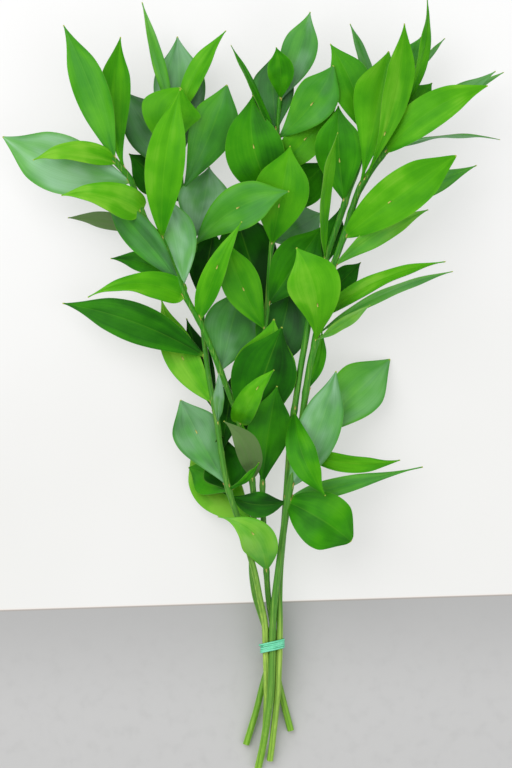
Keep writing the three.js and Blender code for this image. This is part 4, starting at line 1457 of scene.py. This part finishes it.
@dataclass
class Rod:
    """The fine stem itself: grooved, swollen at its nodes and cut across at the foot.

    Attributes:
        stem: The stem.
        seed: A number of its own, which turns its ridges.
        sides: Corners of each ring.
        step: Distance between rings.
        ridges: How many ridges it has.
        ridge_height: Their height, as a share of the radius.
        ridge_twist: How far they turn in each millimetre, in radians.
        swell: How much thicker it is at a node, as a share of the radius.
        swell_length: Over what length it swells.
        most_swelling: The most that near nodes add up to.
        pale_reach: How far above the tie the last value of its pallor lies.
        pale_end: How far above the tie its pallor ends.
        cut_rings: Size, as a share of the foot, and height over it, for the cut face's rings.
        cut_middle: Height of the middle of the cut face over the foot.
    """

    stem: Stem
    seed: int
    sides: int = 20
    step: float = 2.5
    ridges: int = 5
    ridge_height: float = 0.05
    ridge_twist: float = 0.006
    swell: float = 0.16
    swell_length: float = 3.0
    most_swelling: float = 1.2
    pale_reach: float = 32.0
    pale_end: float = 96.0
    cut_rings: tuple[Pair, ...] = ((0.93, 0.0), (0.93, 0.12), (0.5, 0.05))
    cut_middle: float = 0.03

    def radius(self, y: float) -> float:
        """The radius at y, with the swelling of each node near it."""
        swelling = sum(math.exp(-(((y - blade.root[1]) / self.swell_length) ** 2))
                       for blade in self.stem.blades)
        return self.stem.radius_at(y) * (1 + self.swell * min(swelling, self.most_swelling))

    def build(self, finish: bpy.types.Material) -> bpy.types.Object:
        """Makes the stem as one piece.

        Args:
            finish: Its finish.

        Returns:
            The piece.
        """
        route, tie = self.stem.route, plan_y(TIE_ROW)
        length = route.end - route.start
        angles = ring_angles(self.sides)
        pale_places = (route.start, tie, tie + self.pale_reach, tie + self.pale_end)
        rings, places, looks = [], [], []
        for y in np.linspace(route.start, route.end, int(length / self.step) + 1):
            centre, tangent = route.at(y), route.tangent(y)
            side = unit(np.cross(tangent, UPWARD))
            up = np.cross(side, tangent)
            wave = np.cos(self.ridges * (angles + self.ridge_twist * (y - route.start) + self.seed))
            radius = self.radius(y) * (1 + self.ridge_height * (wave - 1) / 2)
            spokes = np.cos(angles)[:, None] * side - np.sin(angles)[:, None] * up
            rings.append(centre + radius[:, None] * spokes)
            share = np.full(self.sides, (y - route.start) / length)
            places.append(np.stack([share, angles, np.full(self.sides, self.seed)], axis=-1))
            pallor = np.full(self.sides, np.interp(y, pale_places, (*self.stem.plan.pallor, 0.0)))
            # The ridge value places the painted shade in the grooves.
            looks.append(np.stack([np.zeros(self.sides), (wave + 1) / 2, pallor], axis=-1))
        skin = tube(np.array(rings), np.array(places), np.array(looks))
        return mesh_piece(f"{self.stem.plan.piece}_stem", joined([skin, self.cut_face(rings[0])]), finish)

    def cut_face(self, foot: np.ndarray) -> Patch:
        """Makes the pale cut across the foot, a shallow dish set a hair proud of the stem's end.

        Args:
            foot: The stem's first ring.

        Returns:
            The dish.
        """
        centre = foot.mean(0)
        out = -self.stem.route.tangent(self.stem.route.start)
        rings = [centre + (foot - centre) * size + out * height for size, height in self.cut_rings]
        corners = np.concatenate([*rings, (centre + out * self.cut_middle)[None]])
        n = len(foot)
        faces: list[Face] = [tuple(range(n))]
        for start in range(0, (len(rings) - 1) * n, n):
            for j in range(n):
                k = (j + 1) % n
                faces.append((start + k, start + j, start + n + j, start + n + k))
        last = (len(rings) - 1) * n
        faces += [(last + (j + 1) % n, last + j, last + n) for j in range(n)]
        look = np.tile(np.array([1.0, 1.0, 0.0]), (len(corners), 1))
        return Patch(corners, faces, np.zeros((len(corners), 3)), look)


@dataclass(frozen=True)
class ScaleShape:
    """The shape of a pointed scale: its length, half width, and how far its tip stands off."""

    length: float
    half_width: float
    lift: float


@dataclass
class Bracts:
    """The small papery scales under each blade, and the scar in the middle of some blades.

    Attributes:
        stem: The stem.
        seed: A number of its own, which shifts the scales' grain.
        seed_step: What each scale adds to it.
        scar_seed_step: What each scar adds to it.
        bract: The shape of a scale on the stem.
        scar: The shape of a scar on a blade.
        thickness: Thickness of both.
        foot_width: Width at the foot, as a share of the half width.
        belly: How much wider the middle is.
        tip_width: Least width, at the tip.
        hug: How far the edges bend down, as a share of the half width.
        rows: Grid points along a scale.
        wide: Grid points across a scale.
        drop: How far under a blade's root a scale sits.
        root_share: Where on the blade the scale's side of the stem is read.
        upward: How strongly the scales turn to the top of the stem.
        seat: Where a scale starts, as a share of the stem's radius.
        probe: How far along and across a blade the directions of a scar are read.
    """

    stem: Stem
    seed: int
    seed_step: float = 0.7
    scar_seed_step: float = 0.9
    bract: ScaleShape = ScaleShape(5.0, 1.3, 0.7)
    scar: ScaleShape = ScaleShape(3.4, 0.75, 0.35)
    thickness: float = 0.25
    foot_width: float = 0.6
    belly: float = 0.8
    tip_width: float = 0.08
    hug: float = 0.35
    rows: int = 7
    wide: int = 5
    drop: float = 1.0
    root_share: float = 0.12
    upward: float = 1.2
    seat: float = 1.04
    probe: Pair = (0.01, 0.05)

    def scale(self, foot: np.ndarray, ahead: np.ndarray, out: np.ndarray, shape: ScaleShape,
              seed: float) -> Patch:
        """Makes one pointed scale.

        Args:
            foot: Where it starts.
            ahead: Its direction.
            out: The direction that its top faces.
            shape: Its shape.
            seed: Shifts its grain.

        Returns:
            The scale's patch.
        """
        s, u = plate_grid(self.rows, self.wide)
        width = np.maximum(np.sqrt(1 - s) * (self.foot_width + self.belly * s * (1 - s)), self.tip_width)
        rise = shape.lift * s * s - self.hug * shape.half_width * u * u
        middle = foot + ahead * (shape.length * s)[..., None] + out * rise[..., None]
        middle = middle + np.cross(out, ahead) * (u * shape.half_width * width)[..., None]
        place = np.stack([s, u, np.full_like(s, seed)], axis=-1)
        half = out * self.thickness / 2
        return plate(middle + half, middle - half, place, (0.5, 0.0, 0.0))

    def at_node(self, blade: Blade, seed: float) -> Patch:
        """Makes the scale on the stem under a blade's root.

        Args:
            blade: The blade.
            seed: Shifts its grain.

        Returns:
            The scale's patch.
        """
        y = blade.root[1] - self.drop
        centre, tangent = self.stem.route.at(y), self.stem.route.tangent(y)
        out = blade.point(self.root_share, 0.0) - blade.root + self.upward * UPWARD
        out = unit(out - tangent * float(out @ tangent))
        foot = centre + out * (self.stem.radius_at(y) * self.seat)
        return self.scale(foot, tangent, out, self.bract, seed)

    def on_blade(self, blade: Blade, seed: float) -> Patch:
        """Makes the scar on a blade's midrib.

        Args:
            blade: The blade.
            seed: Shifts its grain.

        Returns:
            The scar's patch.
        """
        s = blade.leaf.scar
        here = blade.point(s, 0.0)
        along = unit(blade.point(s + self.probe[0], 0.0) - here)
        out = unit(np.cross(along, blade.point(s, self.probe[1]) - here))
        return self.scale(here + out * (BLADE_THICKNESS / 2), along, out, self.scar, seed)

    def build(self, finish: bpy.types.Material) -> bpy.types.Object:
        """Makes all the stem's scales as one piece.

        Args:
            finish: Their finish.

        Returns:
            The piece.
        """
        numbered = list(enumerate(self.stem.blades))
        patches = [self.at_node(blade, self.seed + self.seed_step * i) for i, blade in numbered]
        patches += [self.on_blade(blade, self.seed + self.scar_seed_step * i)
                    for i, blade in numbered if blade.leaf.scar]
        return mesh_piece(f"{self.stem.plan.piece}_bracts", joined(patches), finish)


@dataclass
class RubberTie:
    """One rubber tie wound five times round the stems, whose end is led back across the others underneath.

    Attributes:
        stems: All stems.
        turns: How often it is wound.
        height: Height of the winding along the bunch.
        slant: How far it rises along the bunch over the next distance to the right.
        slant_reach: That distance.
        clearance: Room between the stems and the line drawn round them.
        bite: How far the strand lies inside that line.
        strand_width: The strand's width along the bunch.
        strand_thickness: The strand's thickness.
        squareness: Under 1 for a strand with flatter sides.
        wobbles: Height, number along the strand and start of its waves.
        back_share: Over what share of a turn it is led back.
        lift_share: Over what share of a turn it is lifted for that.
        ease: Over how many rings it is lifted, and lowered again.
        steps: Rings in each turn.
        section: Corners of each ring.
        rounds: Directions in which the line round the stems is sought.
        mark_step: How many rings the stretch marks' pattern counts as one.
        crisp: Edges that turn by more degrees than this stay crisp.
    """

    stems: Sequence[Stem]
    turns: int = 5
    height: float = 8.6
    slant: float = 4.2
    slant_reach: float = 16.0
    clearance: float = 0.35
    bite: float = 0.1
    strand_width: float = 1.62
    strand_thickness: float = 1.15
    squareness: float = 0.75
    wobbles: tuple[Triple, ...] = ((0.18, 5.1, 1.0), (0.12, 11.3, 0.0))
    back_share: float = 0.3
    lift_share: float = 0.42
    ease: float = 6.0
    steps: int = 96
    section: int = 12
    rounds: int = 1440
    mark_step: float = 8.0
    crisp: float = 80.0

    def outline(self) -> tuple[np.ndarray, np.ndarray]:
        """Draws the line tight round all the stems, seen along the bunch.

        Returns:
            Its points, evenly spaced, and its outward directions there.
        """
        y = plan_y(TIE_ROW)
        reach = (self.height + self.slant) / 2
        discs = [(stem.route.at(level), stem.radius_at(level)) for level in (y - reach, y, y + reach)
                 for stem in self.stems]
        centres = np.array([(centre[0], centre[2]) for centre, _ in discs])
        radii = np.array([radius for _, radius in discs]) + self.clearance
        angles = ring_angles(self.rounds)
        out = np.stack([np.cos(angles), np.sin(angles)], axis=-1)
        best = np.argmax(out @ centres.T + radii, axis=1)
        line = centres[best] + out * radii[best][:, None]
        run = np.concatenate([[0], np.cumsum(np.linalg.norm(np.diff(line, axis=0, append=line[:1]), axis=1))])
        spots = np.linspace(0, run[-1], self.steps, endpoint=False)
        closed = np.concatenate([line, line[:1]])
        even = np.stack([np.interp(spots, run, closed[:, k]) for k in (0, 1)], axis=-1)
        ahead = np.roll(even, -1, axis=0) - np.roll(even, 1, axis=0)
        return even, unit(np.stack([ahead[:, 1], -ahead[:, 0]], axis=-1))

    def rounded(self, wave: np.ndarray, size: float) -> np.ndarray:
        """A side of the strand's section, from a cosine or sine and the section's size."""
        return np.sign(wave) * np.abs(wave) ** self.squareness * size / 2

    def build(self, finish: bpy.types.Material) -> bpy.types.Object:
        """Makes the wound strand as one closed loop.

        Args:
            finish: Its finish.

        Returns:
            The piece.
        """
        line, normal = self.outline()
        middle = line.mean(0)
        span = self.height - self.strand_width
        foot = int(np.argmin(line[:, 1]))
        total = self.turns * self.steps
        back_steps, lift_steps = self.steps * self.back_share, self.steps * self.lift_share
        angles = ring_angles(self.section)
        shape_out = self.rounded(np.cos(angles), self.strand_thickness)[:, None]
        shape_across = self.rounded(np.sin(angles), self.strand_width)[:, None]
        rings, places = [], []
        for k in range(total):
            spot = (foot + k) % self.steps
            share = k / total
            along = (share - 0.5) * span
            back = smooth_ramp((k - (total - back_steps)) / back_steps)
            along += back * (-along - span / 2)
            eased = smooth_ramp((k - (total - lift_steps)) / self.ease) * smooth_ramp((total - k) / self.ease)
            lift = self.strand_thickness * float(eased)
            wobble = sum(rise * math.sin(count * share * TURN + start) for rise, count, start in self.wobbles)
            base = line[spot] + normal[spot] * (self.strand_thickness / 2 - self.bite + lift)
            slant = self.slant * (base[0] - middle[0]) / self.slant_reach
            centre = np.array([base[0], plan_y(TIE_ROW) + along + wobble + slant, base[1]])
            out = np.array([normal[spot][0], 0.0, normal[spot][1]])
            rings.append(centre + shape_out * out + shape_across * LENGTHWISE)
            mark = np.full(self.section, k / self.mark_step)
            # The last value, the sine across the strand, places the painted shade at its sides.
            places.append(np.stack([mark, np.cos(angles), np.sin(angles)], axis=-1))
        patch = tube(np.array(rings), np.array(places), np.zeros((total, self.section, 3)), closed=True)
        return mesh_piece("tie_wraps", patch, finish, crisp=self.crisp)


@dataclass
class Bunch:
    """All five leafy stems and their tie."""

    stems: list[Stem] = field(default_factory=lambda: [Stem(plan) for plan in STEM_PLANS])
    green_slot: str = "ruscus_green"
    rubber_slot: str = "tie_rubber"
    seed_step: int = 11

    def settle(self) -> None:
        """Bends the blades clear of one another."""
        settling = Settling(self.stems)
        settling.run()
        LOG.info("settled %d crossings", len(settling.crossings))

    def build(self) -> None:
        """Makes every piece, and sets it on the body in place of its plain solid."""
        blade_finish = BladeFinish().material()
        stem_finish = StemFinish().material()
        bract_finish = BractFinish().material()
        for number, stem in enumerate(self.stems, 1):
            seed = self.seed_step * number
            pieces = [
                Foliage(stem, seed).build(blade_finish),
                Rod(stem, seed).build(stem_finish),
                Bracts(stem, seed).build(bract_finish),
            ]
            for piece in pieces:
                self.seat(piece, self.green_slot, stem.plan.node)
        tie = RubberTie(self.stems).build(RubberFinish().material())
        self.seat(tie, self.rubber_slot, "rubber_tie")

    @staticmethod
    def seat(piece: bpy.types.Object, slot: str, node: str) -> None:
        """Rides a piece on the body, and hides the plain solid of the node that it stands for.

        Args:
            piece: The piece.
            slot: Its slot; not used.
            node: The node.
        """
        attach(piece, "root")
        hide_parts(node)
        LOG.info("%s: %d faces", piece.name, len(piece.data.polygons))


# ------------------------------------------------------------------ studio
@dataclass(frozen=True)
class Lamp:
    """A square soft light that faces the bunch, with its place in metres and its power in watts."""

    name: str
    place: Triple
    size: float
    power: float
    colour: Triple

    def hang(self) -> None:
        """Hangs the lamp."""
        data = bpy.data.lights.new(self.name, "AREA")
        data.shape = "SQUARE"
        data.size = self.size
        data.energy = self.power
        data.color = self.colour
        lamp = bpy.data.objects.new(self.name, data)
        lamp.location = self.place
        lamp.rotation_euler = (-Vector(self.place)).to_track_quat("-Z", "Y").to_euler()
        bpy.context.scene.collection.objects.link(lamp)


@dataclass
class Studio:
    """The pale floor, the camera straight above and soft lights from both sides, in metres.

    Attributes:
        lens: The camera's focal length, in millimetres.
        sensor: The long side of its sensor, in millimetres.
        frame_height: How much of the bunch's length it sees at the height that it aims at.
        aim: What it aims at.
        clip_end: How far it sees.
        floor_side: Side of the floor.
        key: The stronger lamp, from the upper left.
        fill: The weaker lamp, from the lower right.
        surroundings: Colour of the surroundings.
        ambience: How strongly they shine.
    """

    lens: float = 240.0
    sensor: float = 36.0
    frame_height: float = 0.576
    aim: Triple = (0.001875, 0.001875, 0.03)
    clip_end: float = 20.0
    floor_side: float = 6.0
    key: Lamp = Lamp("key", (-1.0, 0.9, 1.8), 2.2, 31.0, (1.0, 0.99, 0.97))
    fill: Lamp = Lamp("fill", (1.2, -0.8, 1.6), 1.6, 9.0, (0.98, 0.99, 1.0))
    surroundings: Colour = (1.0, 1.0, 1.0, 1.0)
    ambience: float = 0.52

    def floor(self) -> None:
        """Lays the pale floor."""
        half = self.floor_side / 2
        mesh = bpy.data.meshes.new("pale_floor")
        corners = [(-half, -half, 0), (half, -half, 0), (half, half, 0), (-half, half, 0)]
        mesh.from_pydata(corners, [], [(0, 1, 2, 3)])
        mesh.materials.append(FloorFinish().material())
        floor = bpy.data.objects.new("pale_floor", mesh)
        bpy.context.scene.collection.objects.link(floor)

    def camera(self) -> None:
        """Sets the camera straight above the bunch."""
        data = bpy.data.cameras.new("camera")
        data.lens = self.lens
        data.sensor_width = self.sensor
        data.clip_end = self.clip_end
        camera = bpy.data.objects.new("camera", data)
        distance = self.frame_height * self.lens / self.sensor
        camera.location = (self.aim[0], self.aim[1], self.aim[2] + distance)
        bpy.context.scene.collection.objects.link(camera)
        bpy.context.scene.camera = camera

    def lights(self) -> None:
        """Sets the key, the fill and the pale surroundings."""
        self.key.hang()
        self.fill.hang()
        world = bpy.data.worlds.new("pale_room")
        world.use_nodes = True
        background = world.node_tree.nodes["Background"]
        background.inputs["Color"].default_value = self.surroundings
        background.inputs["Strength"].default_value = self.ambience
        bpy.context.scene.world = world

    def tone(self) -> None:
        """Keeps display colours plain."""
        view = bpy.context.scene.view_settings
        view.view_transform = "Standard"
        view.look = "None"
        view.exposure = 0.0
        view.gamma = 1.0

    def build(self) -> None:
        """Sets up the whole studio."""
        self.floor()
        self.camera()
        self.lights()
        self.tone()


def main() -> None:
    """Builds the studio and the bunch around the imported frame."""
    logging.basicConfig(level=logging.INFO, format="%(name)s: %(message)s")
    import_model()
    Studio().build()
    bunch = Bunch()
    bunch.settle()
    bunch.build()


if __name__ == "__main__":
    main()
